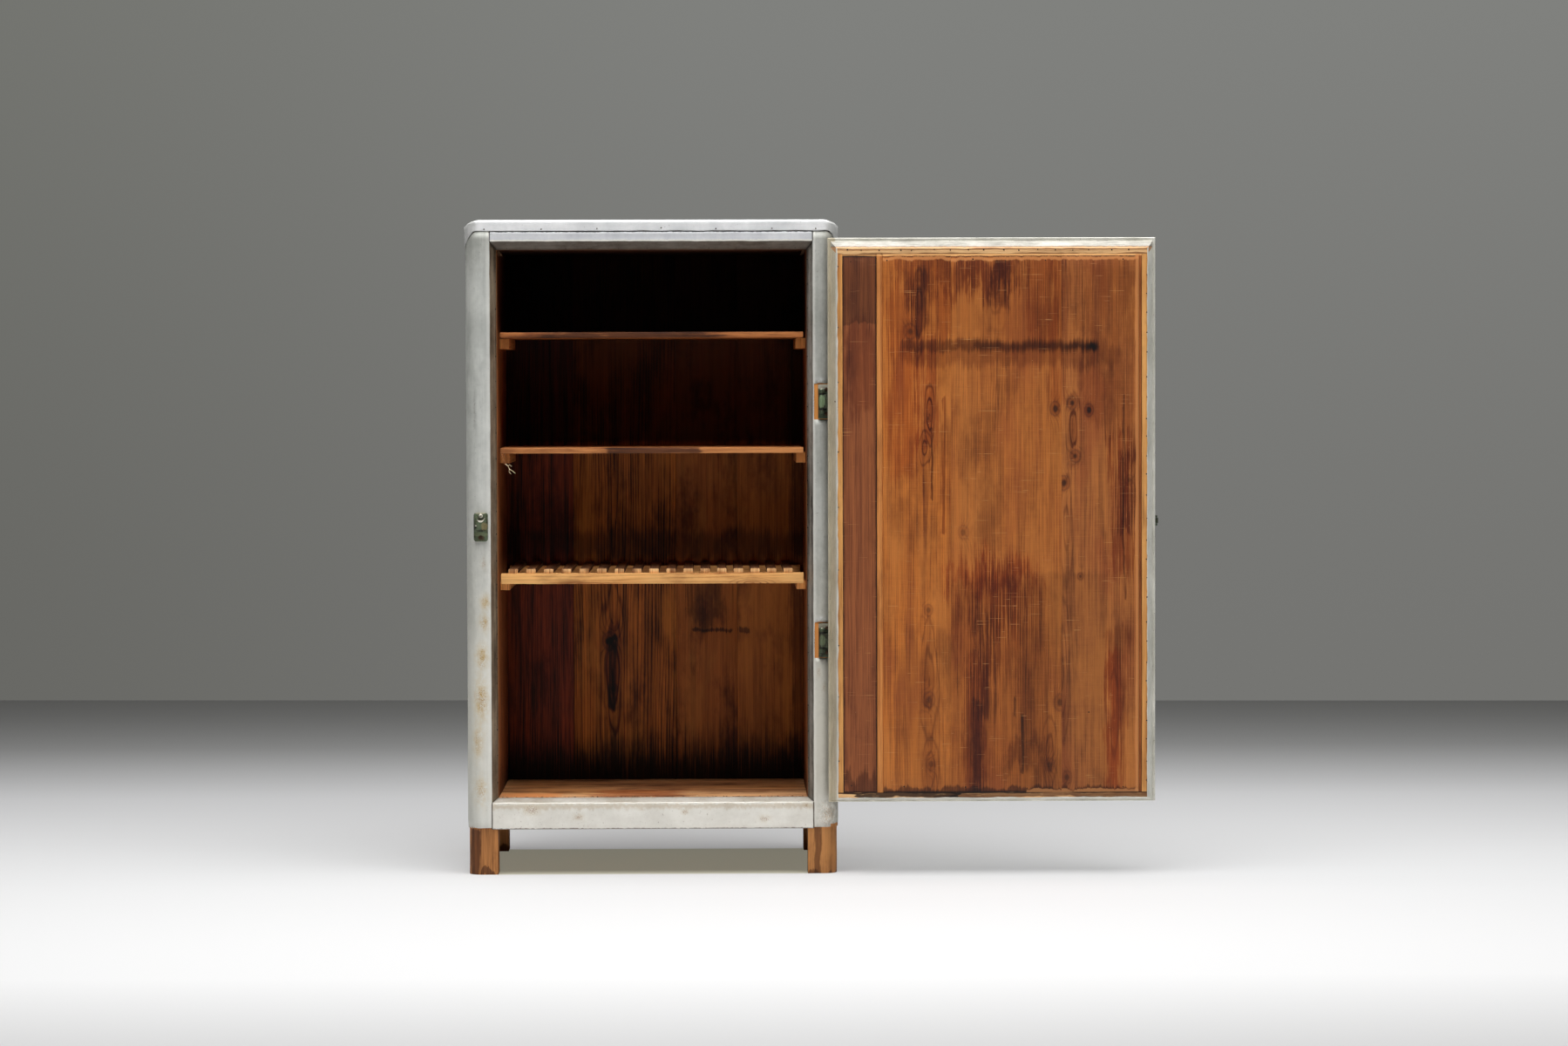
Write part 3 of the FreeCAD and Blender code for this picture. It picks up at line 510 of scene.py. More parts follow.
    def flamed(self, flame: Flame, colour: Socket) -> Socket:
        """Draws one set of pointed loops in the grain.

        Args:
            flame: The loops.
            colour: The wood below.

        Returns:
            The colour with the loops.
        """
        side = self.calc("ABSOLUTE", self.over(self.minus(self.across, flame.across), flame.wide))
        rise = self.over(self.minus(self.along, flame.along), flame.tall)
        reach = self.plus(self.calc("SQRT", self.squares(side, rise)), self.swing(self.waver, 0.7))
        phase = self.apart(self.calc("FRACT", self.times(reach, flame.lines)), 0.5)
        colour = self.tinted(colour, self.step(reach, 1.6, 0.2), flame.tint, (176, 126, 96), False)
        near = self.times(self.step(reach, 2.3, 0.8), flame.dark)
        return self.tinted(colour, self.step(phase, 0.26, 0.47), near, (120, 66, 44), False)

    def stained(self, colour: Socket) -> Socket:
        """Lays the stains and the painted shade over the wood one by one, with limits that wander
        and are torn.

        Args:
            colour: The wood below.

        Returns:
            The stained colour.
        """
        shift = self.swing(self.field(0.028, 0.010, 17, 3.0, 0.6), 22.0)
        lift = self.swing(self.field(0.045, 0.006, 19, 3.0, 0.6), 75.0)
        for stain_or_shade in self.pine.stains_and_shade:
            level = self.times(
                self.within(self.scaled(shift, stain_or_shade.torn, self.across), *stain_or_shade.across, stain_or_shade.soft),
                self.within(self.scaled(lift, stain_or_shade.torn, self.along), *stain_or_shade.along, stain_or_shade.soft))
            inside = self.step(level, 0.02, 0.25)
            level = self.plus(level, self.swing(self.rag, stain_or_shade.torn))
            level = self.plus(level, self.swing(self.thread, stain_or_shade.lines))
            mask = self.times(self.step(level, 0.25, 0.95), inside)
            colour = self.tinted(colour, mask, stain_or_shade.strength, stain_or_shade.colour, stain_or_shade.covers)
        return colour

    def scratched(self, colour: Socket) -> Socket:
        """Lays short pale scratches across the wood at two slants, and small pale specks."""
        seed, strength = self.pine.seed, self.pine.scratches
        for number, turn in enumerate((34, 138)):
            line = self.noise(self.board, (0.012, 0.62, 0.3), seed + 31 + number, 1.0, 0.5,
                              (0, 0, 90 - turn))
            place = self.field(0.03, 0.03, 37 + number, 2.0, 0.6)
            mark = self.times(self.step(line, 0.68, 0.78), self.step(place, 0.52, 0.62))
            colour = self.tinted(colour, mark, strength, (214, 156, 98))
        grit = self.field(0.3, 0.3, 41, 2.0, 0.7)
        return self.tinted(colour, self.step(grit, 0.74, 0.78), strength, (226, 178, 124))

    def rimmed(self, rim: Box, colour: Socket) -> Socket:
        """Darkens the wood along the joints round a board, given its rim across and along."""
        x0, x1, z0, z1 = rim
        gap = self.calc(
            "MINIMUM",
            self.calc("MINIMUM", self.minus(self.across, x0), self.minus(x1, self.across)),
            self.calc("MINIMUM", self.minus(self.along, z0), self.minus(z1, self.along)))
        gap = self.plus(gap, self.swing(self.rag, 2.0))
        soft = self.tinted(colour, self.step(gap, 5.0, 0.6), 0.4, (120, 96, 84), False)
        return self.tinted(soft, self.step(gap, 1.5, 0.5), 0.85, (22, 11, 7))


@dataclass(frozen=True)
class RustOrHighlight:
    """A patch of rust on a sheet, or of painted light: its middle, its reach and how strong it is.
    """

    centre: Triple
    reach: Triple
    strength: float = 0.8
    veil: Colour = (0.60, 0.44, 0.18, 1.0)
    veil_share: float = 0.45
    spots: Colour = (0.33, 0.145, 0.024, 1.0)


@dataclass(frozen=True)
class Band:
    """A strip of a sheet between two places on an axis, of another colour."""

    axis: str
    low: float
    high: float
    colour: Colour
    strength: float = 0.8
    soft: float = 1.0
    wander: float = 2.0
    covers: bool = True


@dataclass(frozen=True)
class Zinc:
    """Dull sheet zinc: clouds, runs, specks, pits, scratches and rust, with bands and patches that
    also paint highlights and shade.
    """

    name: str
    light: Colour
    dark: Colour
    seed: float = 0.0
    metal: float = 0.35
    roughness: float = 0.5
    cloud: float = 0.9
    run: float = 0.5
    run_scale: Triple = (0.09, 0.09, 0.006)
    speck: float = 0.5
    speck_colour: Colour = (0.05, 0.035, 0.02, 1.0)
    rust_and_highlights: tuple[RustOrHighlight, ...] = ()
    bands: tuple[Band, ...] = ()

    def material(self) -> Material:
        """Builds the finish.

        Returns:
            The material.
        """
        g = Graph(self.name)
        cloud = g.noise(g.place, (0.016, 0.016, 0.010), self.seed, 6.0, 0.62)
        mottle = g.noise(g.place, (0.13, 0.13, 0.09), self.seed + 2, 4.0, 0.6)
        run = g.noise(g.place, self.run_scale, self.seed + 4, 4.0, 0.6)
        grit = g.noise(g.place, (0.9, 0.9, 0.9), self.seed + 6, 2.0, 0.7)
        specks = g.noise(g.place, (0.24, 0.24, 0.19), self.seed + 8, 3.0, 0.75)
        scratch = g.noise(g.place, (0.02, 0.4, 0.5), self.seed + 10, 3.0, 0.6, (0, 32, 0))
        flaws = g.noise(g.place, (0.62, 0.62, 0.50), self.seed + 12, 4.0, 0.85)
        share = g.times(g.step(cloud, 0.3, 0.7), self.cloud * 0.6)
        share = g.plus(share, g.scaled(g.step(run, 0.35, 0.7), self.run * 0.5, -0.12))
        share = g.plus(share, g.scaled(mottle, 0.36, -0.16))
        colour = g.blend(share, self.light, self.dark)
        colour = g.tinted(colour, g.step(specks, 0.64, 0.74), self.speck, self.speck_colour)
        colour = g.tinted(colour, g.step(scratch, 0.66, 0.74), 0.3, (228, 228, 224))
        for band in self.bands:
            place = g.plus(g.axes[band.axis], g.swing(mottle, band.wander))
            inside = g.within(place, band.low, band.high, band.soft)
            colour = g.tinted(colour, inside, band.strength, band.colour, band.covers)
        for patch in self.rust_and_highlights:
            near = g.calc("POWER", g.away(patch.centre, patch.reach), 2.0)
            near = g.calc("EXPONENT", g.times(near, -1.4))
            veil = g.times(near, g.step(mottle, 0.25, 0.7))
            colour = g.tinted(colour, veil, patch.veil_share * patch.strength, patch.veil)
            spots = g.step(g.plus(flaws, g.times(near, 0.20)), 0.66, 0.76)
            colour = g.tinted(colour, g.times(spots, g.step(near, 0.1, 0.5)), patch.strength,
                              patch.spots)
        g.bump(g.scaled(grit, 0.12, g.plus(mottle, cloud)), 0.35, 0.8)
        return g.surface(colour, g.scaled(mottle, 0.3, self.roughness - 0.15), self.metal)


@dataclass(frozen=True)
class Spot:
    """A place on a casting where its colour differs."""

    centre: Triple
    reach: Triple
    colour: Colour
    strength: float = 0.8


@dataclass(frozen=True)
class Verdigris:
    """Cast brass gone brown and green, with pale patches and spots of other colours, some of them
    painted highlights and shade.
    """

    name: str
    green: Colour
    brown: Colour
    pale: Colour
    seed: float = 0.0
    metal: float = 0.35
    roughness: float = 0.5
    spots: tuple[Spot, ...] = ()

    def material(self) -> Material:
        """Builds the finish.

        Returns:
            The material.
        """
        g = Graph(self.name)
        broad = g.noise(g.place, (0.07, 0.07, 0.07), self.seed, 4.0, 0.65)
        fine = g.noise(g.place, (0.35, 0.35, 0.35), self.seed + 3, 4.0, 0.65)
        pits = g.noise(g.place, (0.9, 0.9, 0.9), self.seed + 5, 2.0, 0.6)
        colour = g.blend(g.step(broad, 0.38, 0.62), self.brown, self.green)
        colour = g.tinted(colour, g.step(fine, 0.56, 0.72), 0.75, self.pale)
        for spot in self.spots:
            near = g.plus(g.away(spot.centre, spot.reach), g.swing(fine, 0.4))
            colour = g.tinted(colour, g.step(near, 1.1, 0.8), spot.strength, spot.colour)
        colour = g.tinted(colour, g.step(pits, 0.6, 0.72), 0.7, (22, 22, 14))
        g.bump(g.scaled(pits, 0.4, fine), 0.6, 0.5)
        return g.surface(colour, g.scaled(fine, 0.35, self.roughness - 0.18), self.metal)


@dataclass(frozen=True)
class Tarnish:
    """Steel of nails, screws and springs, dull with rust, and also loose wood."""

    name: str
    clean: Colour
    stained: Colour
    seed: float = 0.0
    metal: float = 0.6
    roughness: float = 0.5

    def material(self) -> Material:
        """Builds the finish.

        Returns:
            The material.
        """
        g = Graph(self.name)
        broad = g.noise(g.place, (0.2, 0.2, 0.2), self.seed, 4.0, 0.7)
        fine = g.noise(g.place, (1.4, 1.4, 1.4), self.seed + 2, 2.0, 0.7)
        colour = g.blend(g.step(broad, 0.36, 0.66), self.clean, self.stained)
        colour = g.tinted(colour, g.step(fine, 0.6, 0.75), 0.6, (30, 20, 14))
        g.bump(fine, 0.5, 0.25)
        return g.surface(colour, g.scaled(broad, 0.3, self.roughness - 0.15), self.metal)


NAIL_BROWN = Tarnish("nail_brown", (66, 46, 30), (40, 26, 18), 2.0, 0.3, 0.7)
NAIL_DARK = Tarnish("nail_dark", (38, 28, 22), (20, 14, 12), 5.0, 0.2, 0.75)


class Slot(Enum):
    """The record's material slots."""

    ZINC = "zinc_sheet"
    BRASS = "cast_brass"
    STEEL = "steel_fastener"
    CARCASS_PINE = "carcass_pine"
    DOOR_PINE = "door_pine"
    SLAT_PINE = "slat_pine"


class Body(Enum):
    """The bodies that pieces ride on."""

    CARCASS = "carcass"
    DOOR = "door"
    LEVER = "latch_lever"


class Axis(IntEnum):
    """The axis that a board runs along."""

    X = 0
    Y = 1
    Z = 2


# ---------------------------------------------------------------------------
# Making and finishing pieces
# ---------------------------------------------------------------------------
SHARP_EDGE = math.radians(35.0)
WOOD_WAVES = 22.0
CASTING_WAVES = 90.0
TOWARDS_EYE = Vector((0.0, -1.0, 0.0))


def point(x: float, y: float, z: float) -> Vector:
    """A point given in millimetres."""
    return Vector((x, y, z)) * MM


def limited(value: float, low: float, high: float) -> float:
    """A number kept between two limits."""
    return min(max(value, low), high)


def aimed(place: Sequence[float], direction: Vector, front: str = "Z") -> Matrix:
    """The matrix that moves a thing to a place and turns its front in a direction."""
    return Matrix.Translation(place) @ direction.to_track_quat(front, "Y").to_matrix().to_4x4()


def whole(bm: BMesh) -> list:
    """Everything in a mesh, as cutting tools take it."""
    return bm.verts[:] + bm.edges[:] + bm.faces[:]


def rim_of(bm: BMesh) -> list[bmesh.types.BMEdge]:
    """The open edges of a sheet."""
    return [edge for edge in bm.edges if edge.is_boundary]


def sliced(bm: BMesh, axis: Axis, pitch: float) -> None:
    """Cuts rings of corners into a mesh so that it can be worn.

    Args:
        bm: The mesh.
        axis: The axis that the rings stand across.
        pitch: The distance between rings in millimetres.
    """
    places = [vert.co[axis] for vert in bm.verts]
    low, high = min(places), max(places)
    count = max(1, round((high - low) / (pitch * MM)))
    normal = Vector([1.0 if i == axis else 0.0 for i in range(3)])
    for i in range(1, count):
        spot = normal * (low + (high - low) * i / count)
        bmesh.ops.bisect_plane(bm, geom=whole(bm), dist=1e-6, plane_co=spot, plane_no=normal)


def worn(bm: BMesh, amount: float, scale: float, seed: float) -> None:
    """Moves corners unevenly, never outside the piece's own box.

    Args:
        bm: The mesh.
        amount: The most a corner moves, in millimetres.
        scale: Waves per metre.
        seed: Moves the pattern.
    """
    lows = [min(vert.co[i] for vert in bm.verts) for i in range(3)]
    highs = [max(vert.co[i] for vert in bm.verts) for i in range(3)]
    for vert in bm.verts:
        shift = noise.noise_vector(vert.co * scale + Vector((seed, seed * 0.7, seed * 1.3)))
        for i in range(3):
            vert.co[i] = limited(vert.co[i] + shift[i] * amount * MM, lows[i], highs[i])


def rounded(bm: BMesh, width: float) -> None:
    """Bevels a mesh's sharp edges.

    Args:
        bm: The mesh.
        width: The bevel's width in millimetres.
    """
    edges = [edge for edge in bm.edges if edge.is_manifold
             and edge.calc_face_angle(0.0) > SHARP_EDGE]
    bmesh.ops.bevel(bm, geom=edges, offset=width * MM, offset_type="OFFSET", segments=2,
                    profile=0.5, affect="EDGES", material=-1, clamp_overlap=True)


def board(low: Vector, high: Vector, axis: Axis, bevel: float, wear: float, seed: float,
          pitch: float = 42.0) -> BMesh:
    """A sawn board between two corners, with soft and slightly uneven edges.

    Args:
        low: The lowest corner in metres.
        high: The highest corner in metres.
        axis: The axis that it runs along.
        bevel: The softness of its edges in millimetres.
        wear: How uneven it is, in millimetres.
        seed: Moves the unevenness.
        pitch: The distance between its rings of corners.

    Returns:
        The board's mesh.
    """
    bm = bmesh.new()
    bmesh.ops.create_cube(bm, size=1.0)
    bmesh.ops.scale(bm, vec=high - low, verts=bm.verts)
    bmesh.ops.translate(bm, vec=(high + low) / 2, verts=bm.verts)
    rounded(bm, bevel)
    sliced(bm, axis, pitch)
    worn(bm, wear, WOOD_WAVES, seed)
    return bm


def copied(node: str, bevel: float, wear: float = 0.0, seed: float = 1.0, axis: Axis = Axis.Z,
           pitch: float = 0.0) -> BMesh:
    """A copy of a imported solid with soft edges.

    Args:
        node: The solid's name.
        bevel: The softness of its edges in millimetres.
        wear: How uneven it is, in millimetres.
        seed: Moves the unevenness.
        axis: The axis that rings of corners are cut across.
        pitch: The distance between rings, or 0 for none.

    Returns:
        The copy's mesh.
    """
    bm = bmesh.new()
    bm.from_mesh(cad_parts[node].data)
    bmesh.ops.remove_doubles(bm, verts=bm.verts, dist=2e-6)
    bmesh.ops.dissolve_limit(bm, angle_limit=math.radians(1.5), verts=bm.verts, edges=bm.edges)
    rounded(bm, bevel)
    if pitch:
        sliced(bm, axis, pitch)
    if wear:
        worn(bm, wear, WOOD_WAVES if pitch else CASTING_WAVES, seed)
    return bm


def mesh_of(name: str, bm: BMesh, materials: Sequence[Material] = ()) -> bpy.types.Mesh:
    """Turns working geometry, which is used up, into a mesh with its materials."""
    mesh = bpy.data.meshes.new(name)
    bm.to_mesh(mesh)
    bm.free()
    for material in materials:
        mesh.materials.append(material)
    return mesh


def joined_meshes(parts: Sequence[BMesh]) -> BMesh:
    """Puts several meshes into one."""
    result = bmesh.new()
    for part in parts:
        mesh = mesh_of("part", part)
        result.from_mesh(mesh)
        bpy.data.meshes.remove(mesh)
    return result


def added(name: str, data: bpy.types.ID) -> bpy.types.Object:
    """Adds an object to the scene."""
    obj = bpy.data.objects.new(name, data)
    bpy.context.scene.collection.objects.link(obj)
    return obj


def piece(name: str, bm: BMesh, materials: Sequence[Material], body: Body,
          stands_for: Sequence[str] = (), sharp: float = 34.0,
          choose: Union[Callable[[Face], int], None] = None) -> bpy.types.Object:
    """Turns a mesh into a piece of the cabinet.

    Args:
        name: The piece's name.
        bm: Its mesh, which is used up.
        materials: Its materials.
        body: The body that it rides on.
        stands_for: The solids that it stands for.
        sharp: Edges sharper than this angle in degrees stay crisp.
        choose: Picks the number of a face's material.

    Returns:
        The piece.
    """
    if choose:
        bm.normal_update()
        for face in bm.faces:
            face.material_index = choose(face)
    mesh = mesh_of(name, bm, materials)
    mesh.shade_smooth()
    mesh.set_sharp_from_angle(angle=math.radians(sharp))
    obj = added(name, mesh)
    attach(obj, body.value)
    if stands_for:
        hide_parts(*stands_for)
    LOG.info("%s: %d faces", name, len(mesh.polygons))
    return obj


def walled(obj: bpy.types.Object, thickness: float) -> None:
    """Gives a sheet its thickness, inwards from its face, in millimetres."""
    wall = obj.modifiers.new("wall", "SOLIDIFY")
    wall.thickness = thickness * MM
    wall.offset = -1.0
    wall.use_rim = True


def sheet(name: str, bm: BMesh, finishes: Sequence[Zinc], thickness: float, node: str, sharp: float,
          choose: Callable[[Face], int], body: Body = Body.CARCASS) -> None:
    """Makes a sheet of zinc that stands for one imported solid.

    Args:
        name: The piece's name.
        bm: Its outer face, which is used up.
        finishes: Its finishes.
        thickness: Its thickness in millimetres.
        node: The solid's name.
        sharp: Edges sharper than this angle in degrees stay crisp.
        choose: Picks the number of a face's finish.
        body: The body that it rides on.
    """
    materials = [finish.material() for finish in finishes]
    walled(piece(name, bm, materials, body, [node], sharp, choose), thickness)


def wooden(node: str, bm: BMesh, materials: Sequence[Material], body: Body = Body.CARCASS,
           label: str = "",
           choose: Union[Callable[[Face], int], None] = None) -> None:
    """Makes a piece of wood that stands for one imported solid.

    Args:
        node: The solid's name.
        bm: The wood's mesh, which is used up.
        materials: Its materials.
        body: The body that it rides on.
        label: What it is called where that isn't the solid's name.
        choose: Picks the number of a face's material.
    """
    piece((label or node) + "_wood", bm, materials, body, [node], choose=choose)


def dress(node: str, material: Material) -> None:
    """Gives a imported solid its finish.

    Args:
        node: The solid's name.
        material: Its finish.
    """
    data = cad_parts[node].data
    data.materials.clear()
    data.materials.append(material)
    LOG.info("%s keeps its solid", node)


def extruded(bm: BMesh, edges: Sequence[bmesh.types.BMEdge]) -> tuple[list, list]:
    """Extrudes a sheet's edges in place.

    Args:
        bm: The sheet.
        edges: The edges.

    Returns:
        The new corners and the new outer edges.
    """
    made = bmesh.ops.extrude_edge_only(bm, edges=edges)["geom"]
    verts = [item for item in made if isinstance(item, bmesh.types.BMVert)]
    known = set(verts)
    return verts, [
        item for item in made if isinstance(item, bmesh.types.BMEdge) and set(item.verts) <= known
    ]


def swept(section: Sequence[Vector], steps: Sequence[Vector]) -> BMesh:
    """Draws a line of points and extrudes it step by step.

    Args:
        section: The line's points.
        steps: The move of each extrusion.

    Returns:
        The open sheet.
    """
    bm = bmesh.new()
    verts = [bm.verts.new(place) for place in section]
    edges = [bm.edges.new(pair) for pair in zip(verts, verts[1:])]
    for move in steps:
        verts, edges = extruded(bm, edges)
        bmesh.ops.translate(bm, vec=move, verts=verts)
    return bm


def facing(bm: BMesh, way: Callable[[Vector], Vector]) -> None:
    """Turns a sheet's faces so that they look the given way.

    Args:
        bm: The sheet.
        way: The outward direction at a place.
    """
    bm.normal_update()
    votes = sum(1 if face.normal.dot(way(face.calc_center_median())) > 0 else -1
                for face in bm.faces)
    if votes < 0:
        bmesh.ops.reverse_faces(bm, faces=bm.faces)


def domes(places: Sequence[Vector], radius: float, height: float, direction: Vector, seed: int,
          sides: int = 7) -> BMesh:
    """A scatter of small domed nail heads.

    Args:
        places: Where they are driven.
        radius: Their radius in millimetres.
        height: How far they stand out.
        direction: The way that they face.
        seed: Varies their size.
        sides: How many sides each has.

    Returns:
        The heads in one mesh.
    """
    rng = random.Random(seed)
    bm = bmesh.new()
    for place in places:
        size = radius * rng.uniform(0.8, 1.15) * MM
        made = bmesh.ops.create_cone(bm, cap_ends=True, segments=sides, radius1=size,
                                     radius2=size * 0.55, depth=height * MM)
        tilt = Euler((rng.uniform(-0.2, 0.2), rng.uniform(-0.2, 0.2), rng.uniform(0, 6.0)))
        matrix = aimed(place, direction) @ tilt.to_matrix().to_4x4()
        bmesh.ops.transform(bm, matrix=matrix, verts=made["verts"])
    return bm


def driven(name: str, heads: BMesh, finish: Tarnish = NAIL_DARK, body: Body = Body.CARCASS) -> None:
    """Makes a piece of a scatter of nail heads.

    Args:
        name: The piece's name.
        heads: The heads, which are used up.
        finish: Their finish.
        body: The body that they ride on.
    """
    piece(name, heads, [finish.material()], body)


def screw_head(place: Vector, radius: float, height: float, direction: Vector,
               slot_turn: float) -> BMesh:
    """A domed wood-screw head with a slot.

    Args:
        place: The middle of its seat.
        radius: Its radius in millimetres.
        height: How far it stands out.
        direction: The way that it faces.
        slot_turn: The slot's turn in degrees.

    Returns:
        The head's mesh.
    """
    bm = bmesh.new()
    rise = [(1.0, 0.0), (1.0, 0.35), (0.88, 0.66), (0.62, 0.88), (0.0, 1.0)]
    verts = [bm.verts.new((across * radius * MM, 0, up * height * MM)) for across, up in rise]
    edges = [bm.edges.new(pair) for pair in zip(verts, verts[1:])]
    bmesh.ops.spin(bm, geom=verts + edges, axis=(0, 0, 1), cent=(0, 0, 0), dvec=(0, 0, 0),
                   angle=math.tau, steps=20, use_merge=True, use_duplicate=False)
    bmesh.ops.remove_doubles(bm, verts=bm.verts, dist=1e-7)
    half = radius * 0.17 * MM
    for side in (-half, half):
        bmesh.ops.bisect_plane(bm, geom=whole(bm), dist=1e-7, plane_co=(0, side, 0),
                               plane_no=(0, 1, 0))
    floor = height * 0.4 * MM
    for vert in bm.verts:
        if abs(vert.co.y) < half * 0.99:
            vert.co.z = min(vert.co.z, floor)
    bmesh.ops.holes_fill(bm, edges=rim_of(bm), sides=0)
    bmesh.ops.recalc_face_normals(bm, faces=bm.faces)
    matrix = aimed(place, direction) @ Matrix.Rotation(math.radians(slot_turn), 4, "Z")
    bmesh.ops.transform(bm, matrix=matrix, verts=bm.verts)
    return bm


# ---------------------------------------------------------------------------
# The studio
# ---------------------------------------------------------------------------
@dataclass(frozen=True)
class Studio:
    """The camera, the lamps, the pale floor and the grey wall behind, in metres."""

    camera_place: Triple = (0.1223, -8.160, 0.9154)
    yaw: float = 0.0158
    pitch: float = 0.0322
    roll: float = -0.0026
    lens: float = 97.06
    sensor: float = 36.0
    sight: float = 60.0
    room_light: float = 0.03
    floor_glow: float = 0.28
    reach: float = 14.0
    floor_front: float = -12.0
    floor_back: float = 14.0
    wall_height: float = 9.0
    wall_distance: float = 4.3
    wall_pivot: float = -2.3
    wall_turn: float = 0.052

    def camera(self) -> None:
        """Places the camera."""
        data = bpy.data.cameras.new("camera")
        data.lens = self.lens
        data.sensor_width = self.sensor
        data.clip_end = self.sight
        camera = added("camera", data)
        turn = (
            Matrix.Rotation(-self.yaw, 4, "Z")
            @ Matrix.Rotation(math.pi / 2 - self.pitch, 4, "X")
            @ Matrix.Rotation(self.roll, 4, "Z")
        )
        camera.matrix_world = Matrix.Translation(self.camera_place) @ turn
        bpy.context.scene.camera = camera

    @staticmethod
    def lamp(name: str, place: Triple, target: Triple, size: Span, power: float) -> None:
        """Hangs one soft white lamp.

        Args:
            name: Its name.
            place: Where it hangs.
            target: What it is turned to.
            size: Its width and height.
            power: Its power in watts.
        """
        data = bpy.data.lights.new(name, "AREA")
        data.shape = "RECTANGLE"
        data.size, data.size_y = size
        data.energy = power
        added(name, data).matrix_world = aimed(place, Vector(target) - Vector(place), "-Z")

    def lamps(self) -> None:
        """Hangs the lamps and fills the rest with even light."""
        self.lamp("overhead", (0.25, -1.25, 3.5), (0.25, -0.9, 0.0), (4.6, 3.0), 205.0)
        self.lamp("rear", (0.3, 0.9, 3.0), (0.3, 0.9, 0.0), (4.6, 1.0), 17.0)
        world = bpy.data.worlds.new("room")
        world.use_nodes = True
        back = world.node_tree.nodes["Background"]
        back.inputs[0].default_value = (1.0, 1.0, 1.0, 1.0)
        back.inputs[1].default_value = self.room_light
        bpy.context.scene.world = world

    def floor_material(self) -> Material:
        """A pale floor with soft shadows and painted light: darker towards the wall and far in
        front, a painted shadow under the cabinet, and a glow to the eye that lightens the shadows.
        """
        g = Graph("floor_paint")
        # Painted light: both ramps darken towards the wall, and the lit colour also darkens far in
        # front.
        seen = g.ramp(g.step(g.axes["Y"], -1600, 4300), (0.0, (248, 248, 248)),
                      (0.2, (240, 240, 240)),
                      (0.5, (206, 206, 207)), (0.8, (112, 112, 110)), (1.0, (84, 83, 80)))
        lit = g.ramp(g.step(g.axes["Y"], -5000, 4300), (0.0, (70, 70, 70)), (0.3, (236, 236, 236)),
                     (0.75, (225, 225, 226)), (1.0, (176, 176, 175)))
        # A painted shadow on the footprint under the cabinet.
        cabinet_shadow = g.times(g.step(g.calc("ABSOLUTE", g.axes["X"]), 350, 325),
                        g.step(g.calc("ABSOLUTE", g.plus(g.axes["Y"], 12)), 226, 206))
        seen, lit = (g.blend(cabinet_shadow, paint, (227, 223, 201), False) for paint in (seen, lit))
        # Camera rays see part glow, painted light that lightens the shadows.
        rays = g.nodes.new("ShaderNodeLightPath").outputs
        share = g.times(rays["Is Camera Ray"], self.floor_glow)
        g.shown(g.either(share, g.shader.outputs[0], g.glow(seen)))
        return g.surface(lit, 0.85)

    @staticmethod
    def wall_material() -> Material:
        """A grey wall that glows to the eye and can't be seen from behind, with painted light:
        lighter towards the top and the right.
        """
        g = Graph("wall_paint")
        # Painted light: the grey is lighter higher up and towards the right.
        rise = g.step(g.axes["Z"], 0, 2700)
        left = g.ramp(rise, (0.0, (103, 103, 99)), (1.0, (116, 117, 112)))
        right = g.ramp(rise, (0.0, (117, 117, 114)), (1.0, (130, 131, 128)))
        shade = g.blend(g.step(g.axes["X"], -2600, 600), left, right)
        rays = g.nodes.new("ShaderNodeLightPath").outputs
        share = g.calc("MAXIMUM", rays["Is Camera Ray"], rays["Is Glossy Ray"])
        front = g.either(share, g.shader.outputs[0], g.glow(shade))
        behind = g.nodes.new("ShaderNodeNewGeometry").outputs["Backfacing"]
        g.shown(g.either(behind, front, g.nodes.new("ShaderNodeBsdfTransparent").outputs[0]))
        return g.surface(shade, 0.9)

    def backdrop(self) -> None:
        """Lays the floor and stands the wall."""
        x0, x1, y0, y1 = -self.reach, self.reach, self.floor_front, self.floor_back
        left, right = (self.wall_distance - (x - self.wall_pivot) * self.wall_turn
                       for x in (x0, x1))
        floor = ((x0, y0, 0), (x1, y0, 0), (x1, y1, 0), (x0, y1, 0))
        wall = ((x0, left, 0), (x1, right, 0), (x1, right, self.wall_height),
                (x0, left, self.wall_height))
        for name, corners, material in (("floor", floor, self.floor_material()),
                                        ("wall", wall, self.wall_material())):
            bm = bmesh.new()
            bm.faces.new([bm.verts.new(corner) for corner in corners])
            added(name, mesh_of(name, bm, [material]))

    def build(self) -> None:
        """Sets the whole studio."""
        bpy.context.scene.view_settings.view_transform = "Standard"
        self.camera()
        self.lamps()
        self.backdrop()


# ---------------------------------------------------------------------------
# Zinc on the carcass
# ---------------------------------------------------------------------------
FRONT = -232.0
BODY_HALF = 349.0
FOLD_HALF = 303.0
SPLAY_HALF = 291.0
SPLAY_BACK = -208.0
LID_BOTTOM = 1208.0
CLADDING_BOTTOM = 88.0
HEADER_FOLD = 1188.5
HEADER_BACK = 1173.5
SILL_FOLD = 135.0
SILL_BACK = 143.0
HINGE_HEIGHTS = (887.5, 439.5)
HOLE_INNER = 304.5
HOLE_OUTER = 338.0
HOLE_HALF = 33.5


